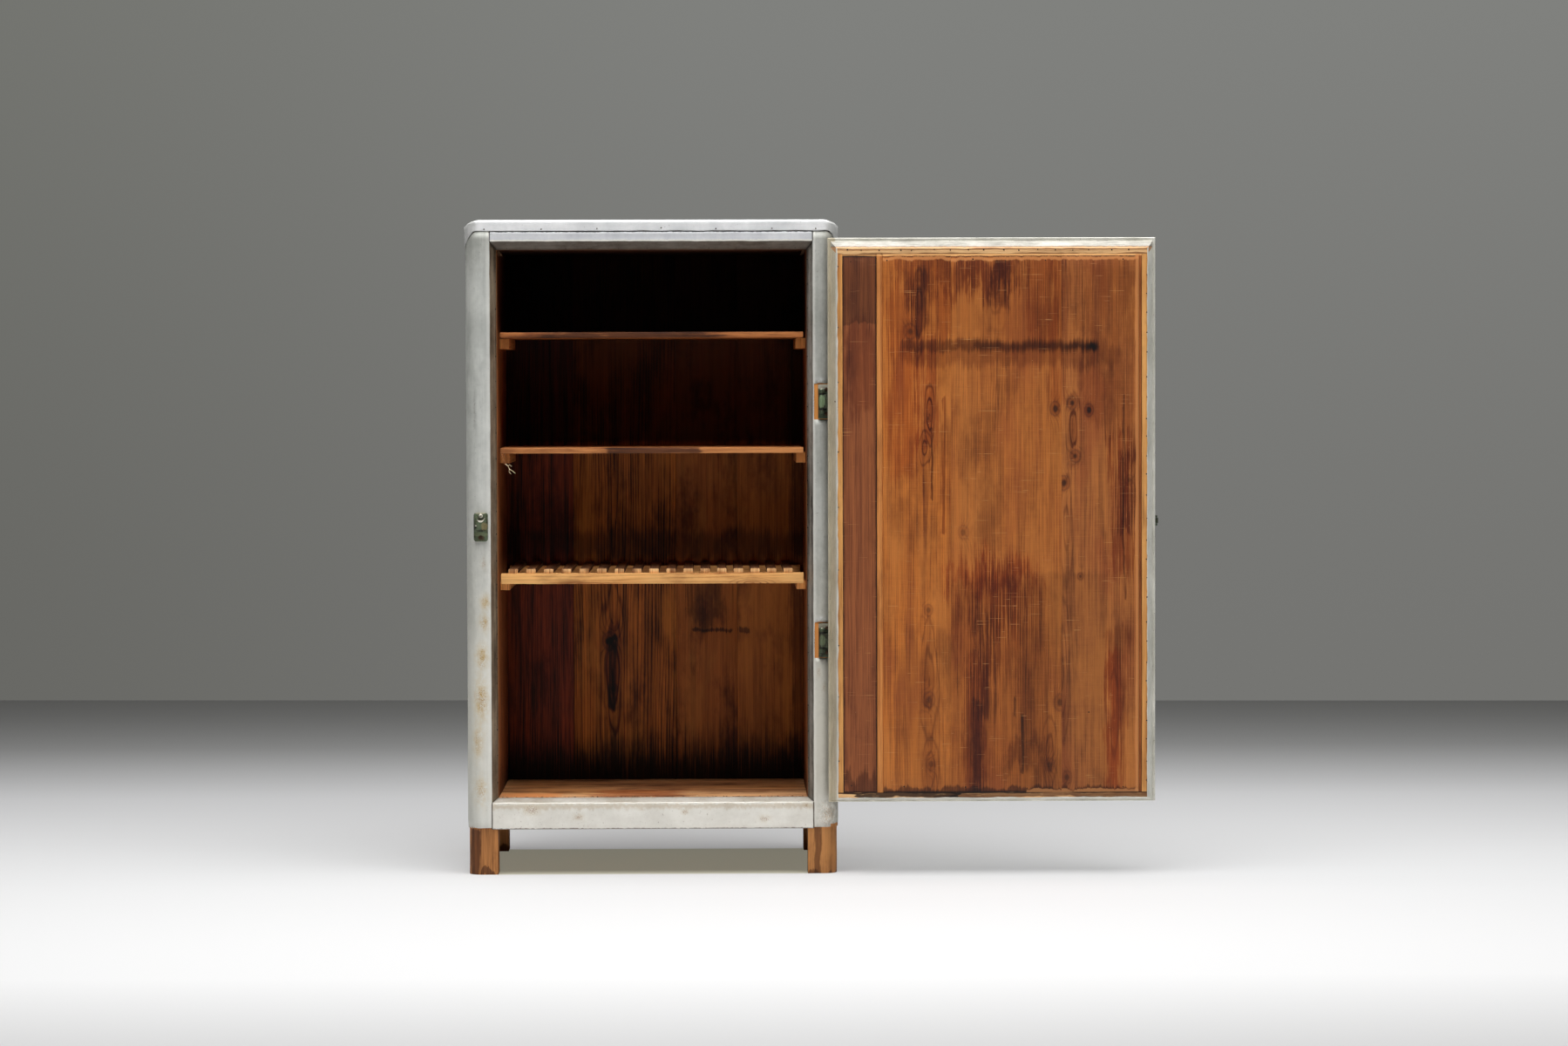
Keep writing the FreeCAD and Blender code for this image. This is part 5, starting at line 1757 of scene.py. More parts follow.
@dataclass(frozen=True)
class Shelves:
    """Two board shelves and a slatted one, with their cleats."""

    upper: Pine = Pine(
        "pine_upper_shelf", Grain.LEVEL_BOARD, (196, 122, 66), (104, 56, 28), 43.0, (-350.0, 960.0),
        blotch=0.9, stains_and_shade=(StainOrShade((-240, -150), (-210, 130), (92, 70, 58), 0.85, 40, 0.6, 1.2),))
    middle: Pine = Pine(
        "pine_middle_shelf", Grain.LEVEL_BOARD, (216, 144, 84), (140, 80, 40), 47.0,
        (-350.0, 760.0), stains_and_shade=(StainOrShade((-240, -150), (-84, 88), (84, 56, 62), 0.85, 10, 0.4, 0.7),))
    rail: Pine = Pine(
        "pine_slat_rail", Grain.LEVEL_RAIL, (250, 188, 114), (186, 116, 58), 53.0, (552.0, -190.0),
        0.01, 3.4, 0.7, gold=(250, 196, 124), flames=(
            Flame(546, 190, 7, 26, 0.5, 2.0, 0.1), Flame(542, -120, 6, 30, 0.4, 2.0, 0.1)))
    # Painted shade: the slats' tops are dark, as if in shade, and their fronts are light.
    slat: Pine = Pine(
        "pine_slats", Grain.FORE_AND_AFT, (112, 72, 42), (50, 28, 16), 59.0, (0.0, 540.0), ring=3.2,
        blotch=0.9, cell=32.4)
    slat_end: Pine = Pine(
        "pine_slat_ends", Grain.UPRIGHT_FRONT, (250, 200, 138), (170, 112, 66), 60.0, (0.0, 540.0),
        ring=2.2, blotch=0.9, cell=32.4)
    # Painted light: the cleats, and their fronts more so, are drawn light against the shade under
    # the shelves.
    cleat: Pine = Pine(
        "pine_cleats", Grain.FORE_AND_AFT, (226, 150, 84), (136, 78, 40), 61.0, (290.0, 560.0),
        ring=3.0)
    cleat_end: Pine = Pine(
        "pine_cleat_ends", Grain.UPRIGHT_FRONT, (248, 172, 96), (176, 106, 54), 62.0,
        (290.0, 560.0), ring=2.6)

    def build(self) -> None:
        """Makes the shelves."""
        for i, (node, finish) in enumerate((("upper_shelf", self.upper),
                                            ("middle_shelf", self.middle))):
            wooden(node, board(*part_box(node), Axis.X, 1.3, 0.7, i + 51.0), [finish.material()])
        rail = [self.rail.material()]
        for i, node in enumerate(("slat_front_rail", "slat_rear_rail")):
            wooden(node, board(*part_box(node), Axis.X, 1.4, 0.6, i + 61.0), rail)
        wooden("shelf_slats", copied("shelf_slats", 0.5, 0.4, 3.0, Axis.Y, 60),
               [self.slat.material(), self.slat_end.material()],
               choose=self.end_grain)
        cleats = [self.cleat.material(), self.cleat_end.material()]
        for i, place in enumerate(("upper", "middle", "lower")):
            node = place + "_cleats"
            wooden(node, copied(node, 1.0, 0.6, i + 5.0, Axis.Y, 50), cleats, choose=self.end_grain)

    @staticmethod
    def end_grain(face: Face) -> int:
        """1 on the faces that look forward and 0 elsewhere."""
        return 1 if face.normal.y < -0.7 else 0


# ---------------------------------------------------------------------------
# The door
# ---------------------------------------------------------------------------
DOOR_STAINS = (
    StainOrShade((466, 834), (979, 1003), (168, 152, 136), 0.85, 10, 0.2, 0.9),
    StainOrShade((600, 826), (984, 997), (170, 156, 142), 0.75, 7, 0.14, 0.7),
    StainOrShade((770, 826), (985, 995), (170, 154, 138), 0.6, 6, 0.10, 0.6),
    StainOrShade((462, 880), (950, 996), (168, 142, 126), 0.6, 18, 0.4, 0.7),
    StainOrShade((812, 834), (980, 997), (52, 38, 34), 0.95, 9, 0.12, 0.3),
    StainOrShade((452, 672), (1076, 1170), (176, 132, 104), 0.7, 34, 1.1, 1.3),
    StainOrShade((580, 690), (1090, 1170), (170, 122, 96), 0.65, 26, 1.1, 1.4),
    StainOrShade((632, 670), (1060, 1150), (150, 110, 86), 0.7, 12, 0.5, 0.9),
    StainOrShade((478, 516), (1020, 1130), (136, 88, 66), 0.6, 12, 0.8, 1.4),
    StainOrShade((528, 560), (1000, 1110), (190, 140, 112), 0.5, 12, 0.7, 1.3),
    StainOrShade((700, 760), (990, 1160), (196, 140, 104), 0.5, 14, 0.8, 1.7),
    StainOrShade((492, 534), (800, 1010), (186, 120, 84), 0.6, 14, 0.7, 2.0),
    StainOrShade((540, 548), (640, 900), (150, 90, 60), 0.6, 3, 0.3, 1.6),
    StainOrShade((520, 524), (700, 840), (110, 60, 44), 0.8, 2.4, 0.3, 1.4),
    StainOrShade((550, 720), (530, 600), (206, 150, 112), 0.7, 44, 1.1, 1.2),
    StainOrShade((600, 690), (450, 590), (180, 132, 100), 0.6, 34, 0.8, 3.4),
    StainOrShade((550, 740), (60, 560), (214, 200, 184), 0.7, 24, 0.35, 0.8),
    StainOrShade((690, 850), (80, 568), (232, 230, 228), 0.85, 8, 0.22, 0.4),
    StainOrShade((570, 710), (380, 560), (190, 154, 128), 0.6, 46, 1.0, 2.8),
    StainOrShade((600, 640), (300, 500), (140, 100, 80), 0.65, 22, 0.7, 2.8),
    StainOrShade((580, 622), (100, 420), (176, 122, 96), 0.7, 16, 0.6, 1.4),
    StainOrShade((596, 616), (140, 330), (130, 72, 66), 0.75, 8, 0.5, 1.0),
    StainOrShade((652, 724), (200, 268), (160, 136, 116), 0.7, 30, 1.0, 0.9),
    StainOrShade((690, 695), (190, 305), (76, 46, 34), 0.85, 3.0, 0.2, 1.6),
    StainOrShade((676, 682), (300, 340), (90, 52, 36), 0.7, 4, 0.4, 1.2),
    StainOrShade((848, 878), (120, 420), (226, 174, 134), 0.85, 16, 0.6, 1.0),
    StainOrShade((856, 902), (560, 830), (176, 112, 80), 0.7, 18, 0.8, 2.8),
    StainOrShade((872, 898), (640, 800), (150, 84, 58), 0.7, 10, 0.7, 2.8),
    StainOrShade((880, 884), (520, 900), (110, 56, 36), 0.7, 2.5, 0.4, 1.6),
    StainOrShade((800, 912), (820, 1165), (206, 182, 160), 0.6, 40, 0.9, 0.8),
    StainOrShade((745, 775), (880, 1165), (200, 150, 116), 0.5, 10, 0.6, 1.9),
    StainOrShade((850, 890), (130, 470), (190, 150, 116), 0.5, 18, 0.9, 1.4),
    StainOrShade((440, 560), (60, 450), (222, 222, 226), 0.7, 50, 0.9, 0.8),
    StainOrShade((425, 915), (1000, 1170), (232, 226, 218), 0.8, 30, 0.6, 0.6),
    StainOrShade((440, 500), (740, 1100), (214, 170, 130), 0.6, 30, 0.7, 1.2),
    StainOrShade((430, 915), (150, 166), (104, 78, 62), 0.75, 6, 0.25, 0.6),
    StainOrShade((425, 920), (1150, 1157), (214, 142, 82), 0.7, 3, 0.10, 0.5, True),
    StainOrShade((420, 930), (1158.4, 1175), (238, 176, 110), 0.95, 0.8, 0.03, 0.3, True),
    StainOrShade((903, 914), (156, 1165), (216, 142, 82), 0.7, 2.5, 0.15, 0.5, True),
    StainOrShade((700, 912), (150, 162), (206, 140, 84), 0.65, 2.5, 0.12, 0.5, True),
)
DOOR_KNOTS = (
    Knot(484, 1018, 7.5, 0.65), Knot(516, 856, 4, 0.4), Knot(581, 643, 6, 0.4),
    Knot(754, 873, 6, 0.85), Knot(785, 884, 6, 0.85), Knot(817, 871, 5.5, 1.0),
    Knot(790, 785, 6, 0.8), Knot(770, 735, 6.5, 0.8), Knot(516, 498, 5, 0.5),
    Knot(517, 330, 7.5, 0.55), Knot(763, 324, 7.5, 0.6), Knot(742, 208, 6, 0.55),
    Knot(775, 184, 6, 0.6), Knot(892, 740, 4.5, 0.45), Knot(800, 560, 3.5, 0.6),
    Knot(520, 210, 5.5, 0.45),
)
DOOR_FLAMES = (
    Flame(518, 862, 8, 46, 0.95), Flame(510, 800, 10, 28, 0.75),
    Flame(787, 834, 9, 44, 0.8, 1.2, 0.5), Flame(517, 360, 14, 90, 0.5, 1.6),
    Flame(519, 200, 14, 50, 0.4, 1.6), Flame(766, 380, 13, 110, 0.4, 1.6, 0.0),
    Flame(742, 230, 10, 50, 0.5), Flame(775, 640, 9, 80, 0.4, 1.5, 0.1),
    Flame(498, 1050, 9, 60, 0.6, 1.4), Flame(640, 1110, 16, 60, 0.35, 1.8),
    Flame(864, 300, 9, 110, 0.4, 1.2, 0.15),
)


def door_pine(number: int, low: float, high: float, seed: float, heart: Span,
              light: Colour, dark: Colour) -> Pine:
    """The finish of one of the door's wide boards, with the marks that lie on it.

    Args:
        number: The board's number.
        low: Its left edge.
        high: Its right edge.
        seed: Moves its grain.
        heart: Where the tree's heart lay.
        light: The colour of its early wood.
        dark: The colour of its late wood.

    Returns:
        The finish.
    """
    knots = tuple(knot for knot in DOOR_KNOTS if low < knot.across < high)
    stains_and_shade = tuple(stain_or_shade for stain_or_shade in DOOR_STAINS if stain_or_shade.across[0] < high
                   and stain_or_shade.across[1] > low)
    flames = tuple(flame for flame in DOOR_FLAMES if low < flame.across < high)
    return Pine("pine_door_%d" % number, Grain.UPRIGHT_FRONT, light, dark, seed, heart, 0.014, 4.6,
                0.6, 0.55, 0.5, (200, 124, 58), 0.55, 0.0, 0.6, (425.0, 909.2, 157.5, 1157.8),
                knots, flames, stains_and_shade, (146, 72, 36), saw=0.5)


@dataclass(frozen=True)
class Door:
    """The door: zinc skin, boards, battens, beads and nails."""

    left: float = 329.7
    right: float = 942.7
    low: float = 137.5
    high: float = 1193.0
    back: float = -248.0
    lip: float = -257.2
    inner: float = -281.0
    first_wavy_ring: int = 3
    first_flange_ring: int = 9
    free_flange_ring: int = 11
    inner_box: Box = (346.0, 926.4, 145.75, 1172.8)
    lip_box: Box = (334.1, 938.3, 139.8, 1187.7)
    border: Zinc = Zinc("zinc_border", (238, 236, 226), (190, 188, 174), 41.0, 0.25, 0.5, 1.1, 0.5,
                        (0.03, 0.2, 0.03), 0.6, bands=(
        Band("X", 326.0, 344.0, (222, 212, 192), 0.9, 2.0, 2.0, False),
    ))
    top_border: Zinc = Zinc("zinc_top_border", (206, 202, 192), (148, 144, 134), 45.0, 0.3, 0.45,
                            1.2, 0.9, (0.03, 0.2, 0.3), 0.6, bands=(
        Band("Z", 1160.0, 1175.7, (206, 152, 100), 0.9, 0.7, 2.0),
        # A painted shadow line along the zinc's inner edge.
        Band("Z", 1175.2, 1176.6, (84, 62, 44), 0.6, 0.5, 2.4),
    ))
    outside: Zinc = Zinc("zinc_door", (186, 188, 185), (150, 152, 147), 43.0)
    boards: tuple[Pine, ...] = (
        door_pine(1, 431.7, 558.7, 71.0, (512.0, -258.0), (202, 118, 48), (124, 61, 24)),
        door_pine(2, 558.7, 765.2, 73.0, (430.0, -240.0), (190, 112, 50), (116, 60, 25)),
        door_pine(3, 765.2, 909.7, 79.0, (800.0, -250.0), (180, 108, 54), (110, 58, 28)),
    )
    narrow: Pine = Pine(
        "pine_narrow", Grain.UPRIGHT_FRONT, (156, 90, 50), (96, 46, 26), 83.0, (300.0, -240.0),
        scratches=0.5, rim=(357.2, 419.2, 157.5, 1157.8), stains_and_shade=(
            StainOrShade((340, 430), (1158.4, 1175), (238, 176, 110), 0.95, 0.8, 0.03, 0.3, True),
            StainOrShade((350, 425), (1030, 1175), (184, 178, 172), 0.9, 4, 0.3, 0.5),
            StainOrShade((350, 425), (860, 1030), (176, 120, 88), 0.5, 30, 0.9, 0.5),
            StainOrShade((350, 425), (150, 190), (140, 120, 104), 0.7, 14, 0.9, 0.3)))
    honey: Pine = Pine(
        "pine_honey", Grain.UPRIGHT_FRONT, (228, 164, 92), (158, 92, 40), 89.0, (330.0, -250.0),
        blotch=0.5, gold=(240, 178, 104), rim=(345.0, 927.4, 150.0, 1168.0))
    bead: Pine = Pine(
        "pine_bead", Grain.UPRIGHT_FRONT, (220, 144, 76), (156, 88, 40), 97.0, (440.0, -250.0),
        blotch=0.5, stains_and_shade=(
            StainOrShade((417, 420.4), (150, 1170), (40, 24, 16), 0.9, 0.5, 0.01, 0.2),
            StainOrShade((900, 916.5), (150, 1170), (176, 140, 116), 0.8, 1.0, 0.01, 0.3),
            StainOrShade((908, 910.4), (150, 1170), (84, 54, 38), 0.8, 0.6, 0.01, 0.3),
            StainOrShade((914.4, 917), (150, 1170), (36, 22, 15), 0.95, 0.5, 0.01, 0.3),
            StainOrShade((410, 930), (1158.4, 1175), (238, 176, 110), 0.95, 0.8, 0.03, 0.3, True)))
    batten: Pine = Pine(
        "pine_batten", Grain.LEVEL_RAIL, (250, 204, 146), (202, 138, 82), 101.0, (1140.0, -260.0),
        blotch=0.6, stains_and_shade=(
            StainOrShade((144, 158), (400, 560), (56, 40, 32), 0.95, 4, 0.9, 0.0),
            StainOrShade((144, 158), (540, 925), (110, 82, 62), 0.8, 5, 1.0, 0.0),
            StainOrShade((1170, 1186), (330, 940), (226, 190, 160), 0.5, 2, 0.1, 0.3),
            # A painted shadow line under the zinc's edge.
            StainOrShade((1171.0, 1174), (330, 940), (150, 110, 76), 0.7, 0.8, 0.35, 0.0),
            StainOrShade((1160, 1163.2), (330, 940), (120, 84, 60), 0.7, 0.8, 0.35, 0.0),
            StainOrShade((155, 158), (345, 926), (50, 30, 20), 0.95, 1, 0.4, 0.0),
        ))

    @staticmethod
    def ring(box: Box, y: float, u: float, v: float) -> Vector:
        """The place on a rectangle round the door of a corner of the unit square's edge."""
        x0, x1, z0, z1 = box
        return Vector((x0 + (x1 - x0) * u, y, z0 + (z1 - z0) * v))

    def between(self, share: float) -> Box:
        """The rectangle part of the way up the bevel."""
        return tuple(a + (b - a) * share for a, b in zip(self.lip_box, self.inner_box))

    @staticmethod
    def grown(box: Box, by: float) -> Box:
        """A rectangle grown on every side."""
        return box[0] - by, box[1] + by, box[2] - by, box[3] + by

    def skin(self) -> BMesh:
        """The zinc over the outer face, lip and bevels, folded onto the boards."""
        bm = bmesh.new()
        bmesh.ops.create_grid(bm, x_segments=58, y_segments=96, size=1.0)
        reach = max(vert.co.x for vert in bm.verts)
        full = (self.left, self.right, self.low, self.high)
        face = self.grown(full, -1.2)
        shares = {}
        for vert in bm.verts:
            shares[vert] = ((vert.co.x / reach + 1) / 2, (vert.co.y / reach + 1) / 2)
            place = self.ring(face, self.back, *shares[vert])
            place.y -= 0.5 * (noise.noise(place * 0.011) + 0.6)
            vert.co = place * MM
        depth = self.inner - self.lip
        rings = [(full, self.back - 1.1), (full, self.lip + 1.0),
                 (self.grown(full, -0.9), self.lip),
                 (self.grown(self.lip_box, 1.0), self.lip),
                 (self.grown(self.lip_box, -0.6), self.lip + 0.9)]
        rings += [(self.between(inward), self.lip + depth * down)
                  for inward, down in ((0.12, 0.10), (0.37, 0.36), (0.66, 0.66), (0.88, 0.88))]
        rings += [(self.between(0.99), self.inner + 0.5)]
        rings += [(self.grown(self.inner_box, by), self.inner + rise)
                  for by, rise in ((-0.7, 0.0), (-1.3, 0.1), (-1.5, 0.9))]
        edges = rim_of(bm)
        for number, (box, y) in enumerate(rings):
            fresh, edges = extruded(bm, edges)
            homes = {(round(v.co.x, 6), round(v.co.z, 6)): shares[v] for v in shares}
            shares = {vert: homes[(round(vert.co.x, 6), round(vert.co.z, 6))] for vert in fresh}
            for vert in fresh:
                vert.co = self.wavy(self.ring(box, y, *shares[vert]), number, shares[vert]) * MM
        return bm

    def wavy(self, place: Vector, number: int, share: Span) -> Vector:
        """A place on a ring of the skin, after folding and years of use.

        Args:
            place: The place in millimetres, which is changed.
            number: The ring's number, counted from the outer face inwards.
            share: Where it lies along the ring, from 0 to 1 across and up.

        Returns:
            The new place.
        """
        if number < self.first_wavy_ring:
            return place
        on_flange = number >= self.first_flange_ring
        swell = noise.noise(place * 0.03 + Vector((number * 0.35, 0, 5)))
        place.y += min(0.0, 0.5 * swell - 0.1) if on_flange else 0.4 * swell
        place.y = max(place.y, self.inner)
        if on_flange:
            wave = noise.noise(place * 0.05) + 0.6 * noise.noise(place * 0.16)
            wave *= 1.2 if number >= self.free_flange_ring else 0.7
            inward = [1 if part < 0.001 else -1 if part > 0.999 else 0 for part in share]
            place.x += wave * inward[0]
            place.z += wave * inward[1]
        return place

    def skin_side(self, face: Face) -> int:
        """The number of a finish: 0 on the lip and bevels, 1 outside and 2 on the top bevel."""
        middle = face.calc_center_median() / MM
        if middle.y > self.back - 1.4:
            return 1
        return 2 if middle.z > self.lip_box[3] - 17.2 and middle.y < self.lip - 0.8 else 0

    def build(self) -> None:
        """Makes the door."""
        bm = self.skin()
        facing(bm, lambda place: -TOWARDS_EYE if place.y / MM > self.back - 0.5 else TOWARDS_EYE)
        sheet("door_skin_sheet", bm, (self.border, self.outside, self.top_border), 0.7, "door_skin",
              40, self.skin_side, Body.DOOR)
        for i, finish in enumerate(self.boards):
            node = "door_board_%d" % (i + 1)
            self.wood(node, board(*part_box(node), Axis.Z, 0.35, 0.4, i + 71.0, 34),
                      finish.material())
        node = "door_narrow_board"
        self.wood(node, board(*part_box(node), Axis.Z, 0.8, 0.5, 77.0, 34), self.narrow.material(),
                  "door_narrow")
        honey = self.honey.material()
        for i, node in enumerate(("door_hinge_stile", "door_latch_stile")):
            self.wood(node, copied(node, 0.6, 0.4, i + 13.0, Axis.Z, 30), honey)
        self.wood("door_beads", copied("door_beads", 0.4, 0.3, 17.0, Axis.Z, 30),
                  self.bead.material())
        batten = self.batten.material()
        for i, node in enumerate(("door_top_batten", "door_bottom_batten")):
            self.wood(node, copied(node, 0.6, 0.5, i + 19.0, Axis.X, 30), batten)
        core = copied("door_core_boards", 0.4)
        middle = sum((vert.co for vert in core.verts), Vector()) / len(core.verts)
        bmesh.ops.scale(core, vec=(0.993, 0.9, 0.996), verts=core.verts,
                        space=Matrix.Translation(-middle))
        self.wood("door_core_boards", core, batten, "door_core")
        self.nails()

    @staticmethod
    def wood(node: str, bm: BMesh, material: Material, label: str = "") -> None:
        """Makes one piece of the door's wood."""
        wooden(node, bm, [material], Body.DOOR, label)

    def nails(self) -> None:
        """Drives the tacks round the border and the nails of the boards."""
        rng = random.Random(21)
        x0, x1, _, z1 = self.inner_box
        y = self.inner - 0.1
        places = [point(x1 - 2.2 + rng.uniform(-0.6, 0.6), y, z + rng.uniform(-6, 6))
                  for z in range(176, 1150, 38)]
        places += [point(x + rng.uniform(-7, 7), y, z1 - 3.6 + rng.uniform(-1, 1))
                   for x in range(360, 920, 33)]
        places += [point(x0 + 2.4, y, z + rng.uniform(-20, 20)) for z in range(200, 1150, 118)]
        driven("border_tacks", domes(places, 1.35, 0.6, TOWARDS_EYE, 9), body=Body.DOOR)
        places = [point(x, self.inner + 0.9, z) for x, z in (
            (816, 306), (440, 1150), (470, 168), (600, 1152), (735, 1150), (880, 1152), (585, 166),
            (700, 164), (880, 166), (372, 170), (372, 1148))]
        driven("board_nails", domes(places, 1.5, 0.5, TOWARDS_EYE, 10), body=Body.DOOR)


# ---------------------------------------------------------------------------
# Hardware
# ---------------------------------------------------------------------------
KEEPER_SCREW = (-320.75, 675.0)


@dataclass(frozen=True)
class Hardware:
    """Hinges, catch and latch, cast and gone green."""

    hinge: Verdigris = Verdigris("brass_hinge", (78, 92, 68), (52, 50, 36), (136, 146, 118), 3.0,
                                 spots=(
        # The pale spots on the tops of the barrels are painted highlights, and the thin dark ones
        # between the knuckles are painted shade in the gaps.
        Spot((322, -246, 915.5), (18, 30, 5.5), (206, 200, 182), 0.75),
        Spot((318, -250, 888), (7, 9, 12), (140, 162, 124), 0.75),
        Spot((318, -250, 902), (14, 30, 1.8), (18, 18, 12), 0.9),
        Spot((318, -250, 873.5), (14, 30, 1.8), (18, 18, 12), 0.9),
        Spot((330, -236, 861), (9, 20, 9), (48, 56, 40), 0.7),
        Spot((322, -246, 467), (18, 30, 5), (196, 190, 170), 0.6),
        Spot((318, -250, 440), (7, 9, 11), (122, 134, 104), 0.6),
        Spot((318, -250, 454), (14, 30, 1.8), (18, 18, 12), 0.9),
        Spot((318, -250, 425.5), (14, 30, 1.8), (18, 18, 12), 0.9),
    ))
    catch: Verdigris = Verdigris("brass_catch", (96, 110, 84), (62, 60, 42), (158, 156, 124), 7.0,
                                 spots=(
        Spot((-314, -240, 656), (6, 30, 9), (150, 134, 92), 0.7),
        Spot((-331, -245, 655), (4, 30, 4), (20, 20, 14), 0.85),
        Spot((-335, -240, 660), (3, 30, 22), (40, 44, 32), 0.7),
        Spot((-320, -240, 640), (14, 30, 4), (124, 132, 98), 0.6),
        Spot((-320, -240, 648), (10, 30, 2.4), (38, 40, 28), 0.7),
        Spot((-320, -236, 634), (6, 30, 5), (84, 60, 36), 0.8),
        Spot((-321, -240, 681), (12, 30, 2.6), (206, 198, 172), 0.85),
        Spot((-329, -246, 657), (2.2, 30, 1.4), (226, 222, 204), 0.9),
    ))
    latch: Verdigris = Verdigris("brass_latch", (70, 84, 64), (56, 52, 38), (140, 144, 118), 11.0)
    bright: Tarnish = Tarnish("steel_bright", (244, 240, 226), (190, 182, 160), 13.0, 0.3, 0.35)
    rusty: Tarnish = Tarnish("steel_rusty", (92, 66, 42), (58, 36, 22), 17.0, 0.3, 0.7)

    @staticmethod
    def cast(node: str, bm: BMesh, material: Material, body: Body) -> None:
        """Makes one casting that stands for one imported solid."""
        piece(node + "_cast", bm, [material], body, [node])

    def build(self) -> None:
        """Makes every casting and screw."""
        hinge, rusty, bright = (finish.material()
                                for finish in (self.hinge, self.rusty, self.bright))
        for place in ("upper", "lower"):
            for kind, body in (("post_leaf", Body.CARCASS), ("door_leaf", Body.DOOR)):
                node = "%s_%s" % (place, kind)
                self.cast(node, copied(node, 0.5, 0.08, 3.0), hinge, body)
            dress(place + "_hinge_pin", hinge)
        self.cast("keeper", copied("keeper", 0.9, 0.25, 5.0), self.catch.material(), Body.CARCASS)
        latch = self.latch.material()
        self.cast("latch_base", copied("latch_base", 0.7, 0.15, 6.0), latch, Body.DOOR)
        self.cast("latch_lever", copied("latch_lever", 0.6, 0.1, 7.0), latch, Body.LEVER)
        dress("latch_pin", latch)
        dress("latch_spring", rusty)
        x, z = KEEPER_SCREW
        upper = screw_head(point(x, -235.0, z), 3.9, 2.2, TOWARDS_EYE, 40)
        piece("keeper_upper_screw", upper, [bright], Body.CARCASS, ["keeper_screws"])
        lower = screw_head(point(x, -235.0, z - 40), 3.5, 1.6, TOWARDS_EYE, 75)
        piece("keeper_lower_screw", lower, [rusty], Body.CARCASS)
        heads = [
            screw_head(point(327.6, -234.5, height + side * 23), 3.5, 1.6, TOWARDS_EYE,
                       25 + side * 30)
            for height in HINGE_HEIGHTS for side in (-1, 1)
        ]
        piece("post_leaf_screw_heads", joined_meshes(heads), [rusty], Body.CARCASS,
              ["post_leaf_screws"])
        for node in ("door_leaf_screws", "latch_screws"):
            dress(node, rusty)
        self.painted_rim_highlight(bright)

    @staticmethod
    def painted_rim_highlight(bright: Material) -> None:
        """Lays a painted highlight, a thin bright sheet, on the rim of the catch's scooped hump
        under its upper screw.
        """
        x, z = KEEPER_SCREW
        bm = bmesh.new()
        bmesh.ops.create_grid(bm, x_segments=14, y_segments=2, size=1.0)
        reach = max(vert.co.x for vert in bm.verts)
        for vert in bm.verts:
            share = (vert.co.x / reach + 1) / 2
            angle = math.radians(-128 + 106 * share)
            radius = 8.4 + (1 + vert.co.y / reach) * 1.5 * math.sin(math.pi * share ** 0.8)
            vert.co = point(x + radius * math.cos(angle), -255.2, z + radius * math.sin(angle))
        facing(bm, lambda place: TOWARDS_EYE)
        walled(piece("keeper_rim_highlight", bm, [bright], Body.CARCASS), 0.8)


# ---------------------------------------------------------------------------
# Traces of use
# ---------------------------------------------------------------------------
def strand(path: Sequence[Triple], thick: float, thin: float, sides: int = 5) -> BMesh:
    """A strand that tapers along a path.

    Args:
        path: Its places in millimetres.
        thick: Its radius at the start.
        thin: Its radius at the end.
        sides: How many sides it has.

    Returns:
        The strand's mesh.
    """
    bm = bmesh.new()
    spots = [point(*place) for place in path]
    ends = zip([spots[0]] + spots, spots[1:] + [spots[-1]])
    heres = [aimed(spot, after - before) for spot, (before, after) in zip(spots, ends)]
    bmesh.ops.create_circle(bm, cap_ends=True, segments=sides, radius=thick * MM)
    last = heres[0]
    bmesh.ops.transform(bm, matrix=last, verts=bm.verts)
    bm.faces.ensure_lookup_table()
    end = bm.faces[0]
    size = thick
    for i, here in enumerate(heres[1:], 1):
        made = bmesh.ops.extrude_face_region(bm, geom=[end])["geom"]
        fresh = [item for item in made if isinstance(item, bmesh.types.BMVert)]
        end = next(item for item in made if isinstance(item, Face))
        wanted = thick + (thin - thick) * i / (len(spots) - 1)
        bmesh.ops.transform(bm, matrix=here @ Matrix.Scale(wanted / size, 4) @ last.inverted(),
                            verts=fresh)
        last, size = here, wanted
    bmesh.ops.recalc_face_normals(bm, faces=bm.faces)
    return bm


def chips(places: Sequence[Vector], size: float, seed: int) -> BMesh:
    """A scatter of crumbs.

    Args:
        places: Where they lie.
        size: Their usual radius in millimetres.
        seed: Varies their shape.

    Returns:
        The crumbs in one mesh.
    """
    rng = random.Random(seed)
    bm = bmesh.new()
    for place in places:
        made = bmesh.ops.create_icosphere(bm, subdivisions=1, radius=1.0)
        spans = [size * rng.uniform(0.5, 1.5) * MM for _ in range(3)]
        turn = Euler((rng.uniform(0, 6), rng.uniform(0, 6), rng.uniform(0, 6))).to_matrix().to_4x4()
        matrix = Matrix.Translation(place) @ Matrix.Diagonal((*spans, 1.0)) @ turn
        bmesh.ops.transform(bm, matrix=matrix, verts=made["verts"])
    return bm


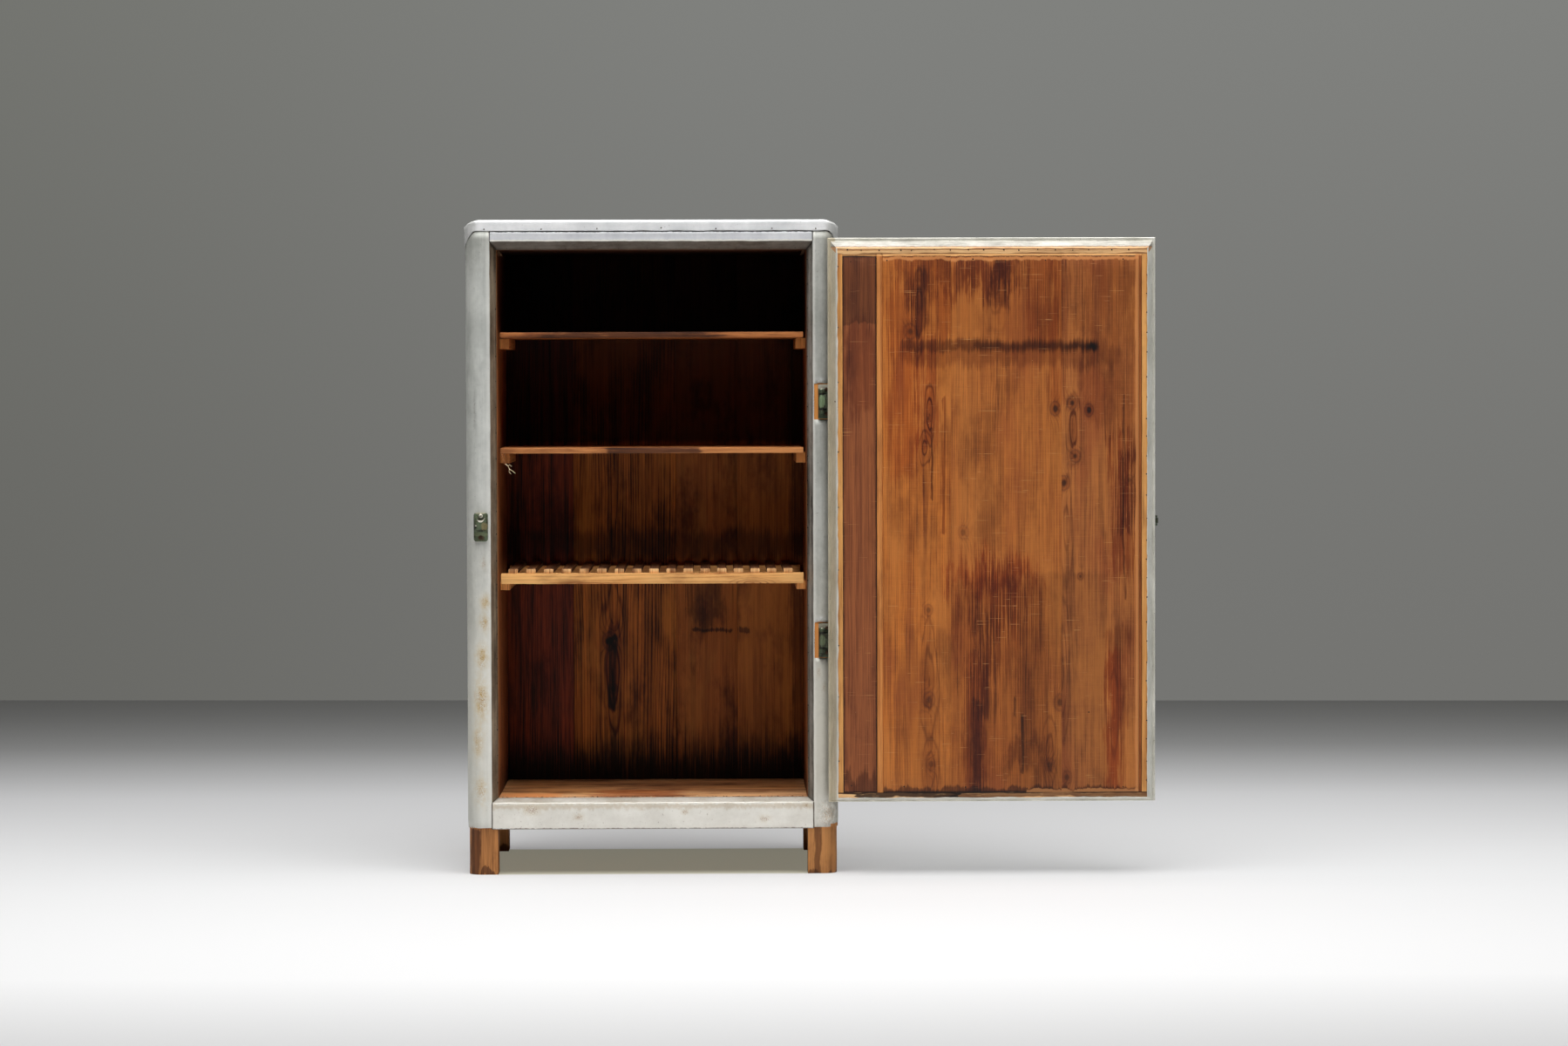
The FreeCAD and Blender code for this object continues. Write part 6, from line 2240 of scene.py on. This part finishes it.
@dataclass(frozen=True)
class Traces:
    """What years of use left: a frayed splinter, torn fibres, crumbs and nail tips."""

    splinter: Tarnish = Tarnish("splinter_wood", (176, 112, 62), (120, 70, 36), 21.0, 0.0, 0.8)
    pale: Tarnish = Tarnish("splinter_pale", (246, 226, 188), (214, 184, 140), 22.0, 0.0, 0.8)
    fibre: Tarnish = Tarnish("torn_fibre", (116, 82, 52), (72, 46, 28), 23.0, 0.0, 0.8)
    crumb: Tarnish = Tarnish("crumb_brown", (150, 92, 50), (84, 48, 26), 24.0, 0.0, 0.8)
    tip: Tarnish = Tarnish("nail_tip", (120, 84, 54), (60, 38, 24), 25.0, 0.2, 0.8)

    @staticmethod
    def loose(name: str, bm: BMesh, material: Material) -> None:
        """Makes a piece of loose wood, which stands for no solid."""
        piece(name, bm, [material], Body.CARCASS)

    def build(self) -> None:
        """Makes every trace."""
        thick = [strand(((-284, -203, 791.5), (-281, -204, 785), (-279, -204, 777),
                         (-275, -204, 770)), 1.5, 0.7),
                 strand(((-278, -204, 791.5), (-276, -204, 786), (-277, -203, 781)), 1.2, 0.3)]
        self.loose("shelf_splinter", joined_meshes(thick), self.splinter.material())
        pale = [strand(((-276, -204, 772), (-271, -205, 768), (-268, -204, 762), (-262, -204, 758),
                        (-257, -205, 754)), 0.9, 0.4),
                strand(((-271, -205, 768), (-268, -204, 770), (-264, -204, 767)), 0.7, 0.3),
                strand(((-268, -204, 762), (-269, -205, 757), (-265, -205, 753)), 0.7, 0.3)]
        pale_wood = self.pale.material()
        self.loose("shelf_splinter_end", joined_meshes(pale), pale_wood)
        self.fibres()
        self.crumbs(pale_wood)
        way = Vector((-0.89, -0.45, 0))
        tips = [domes([point(342.6, -274.6, 887.7)], 2.6, 0.6, way, 3, 9),
                domes([point(336.6, -261.0, 442.7)], 2.0, 0.6, way, 4, 9)]
        driven("border_nail_tips", joined_meshes(tips), self.tip, Body.DOOR)

    def fibres(self) -> None:
        """Tears fibres out of the upper corners of the opening."""
        rng = random.Random(31)
        torn = []
        for side, count in ((-1, 9), (1, 6)):
            for _ in range(count):
                x, z = side * rng.uniform(284, 290.4), rng.uniform(1167, 1173)
                torn.append(strand(((x, -206, z),
                                    (x - side * rng.uniform(1, 4), -206.5, z - rng.uniform(2, 4)),
                                    (x - side * rng.uniform(3, 7), -207, z - rng.uniform(3, 8))),
                                   0.9, 0.3, 3))
        self.loose("corner_fibres", joined_meshes(torn), self.fibre.material())

    def crumbs(self, pale_wood: Material) -> None:
        """Drops brown and pale crumbs along the joint of the floor and the sill."""
        rng = random.Random(33)
        places = [point(-285 + 570 * rng.random() ** 1.2, -207 + 9 * rng.random() ** 2, 143.5)
                  for _ in range(90)]
        self.loose("floor_crumbs", chips(places, 1.0, 5), self.crumb.material())
        places = [point(rng.uniform(-285, 285), -207 + 12 * rng.random() ** 2, 143.5)
                  for _ in range(36)]
        self.loose("pale_crumbs", chips(places, 0.8, 6), pale_wood)


def main() -> None:
    """Builds the studio and every part of the cabinet in order."""
    logging.basicConfig(level=logging.INFO, format="%(name)s %(message)s")
    # Without a seed of its own, the vector noise that wears the pieces would follow the clock.
    noise.seed_set(WEAR_SEED)
    Studio().build()
    for part in (Lid(), Cladding(), Timber(), Shelves(), Door(), Hardware(), Traces()):
        LOG.info("building %s", type(part).__name__)
        part.build()
    bpy.context.view_layer.update()


if __name__ == "__main__":
    main()
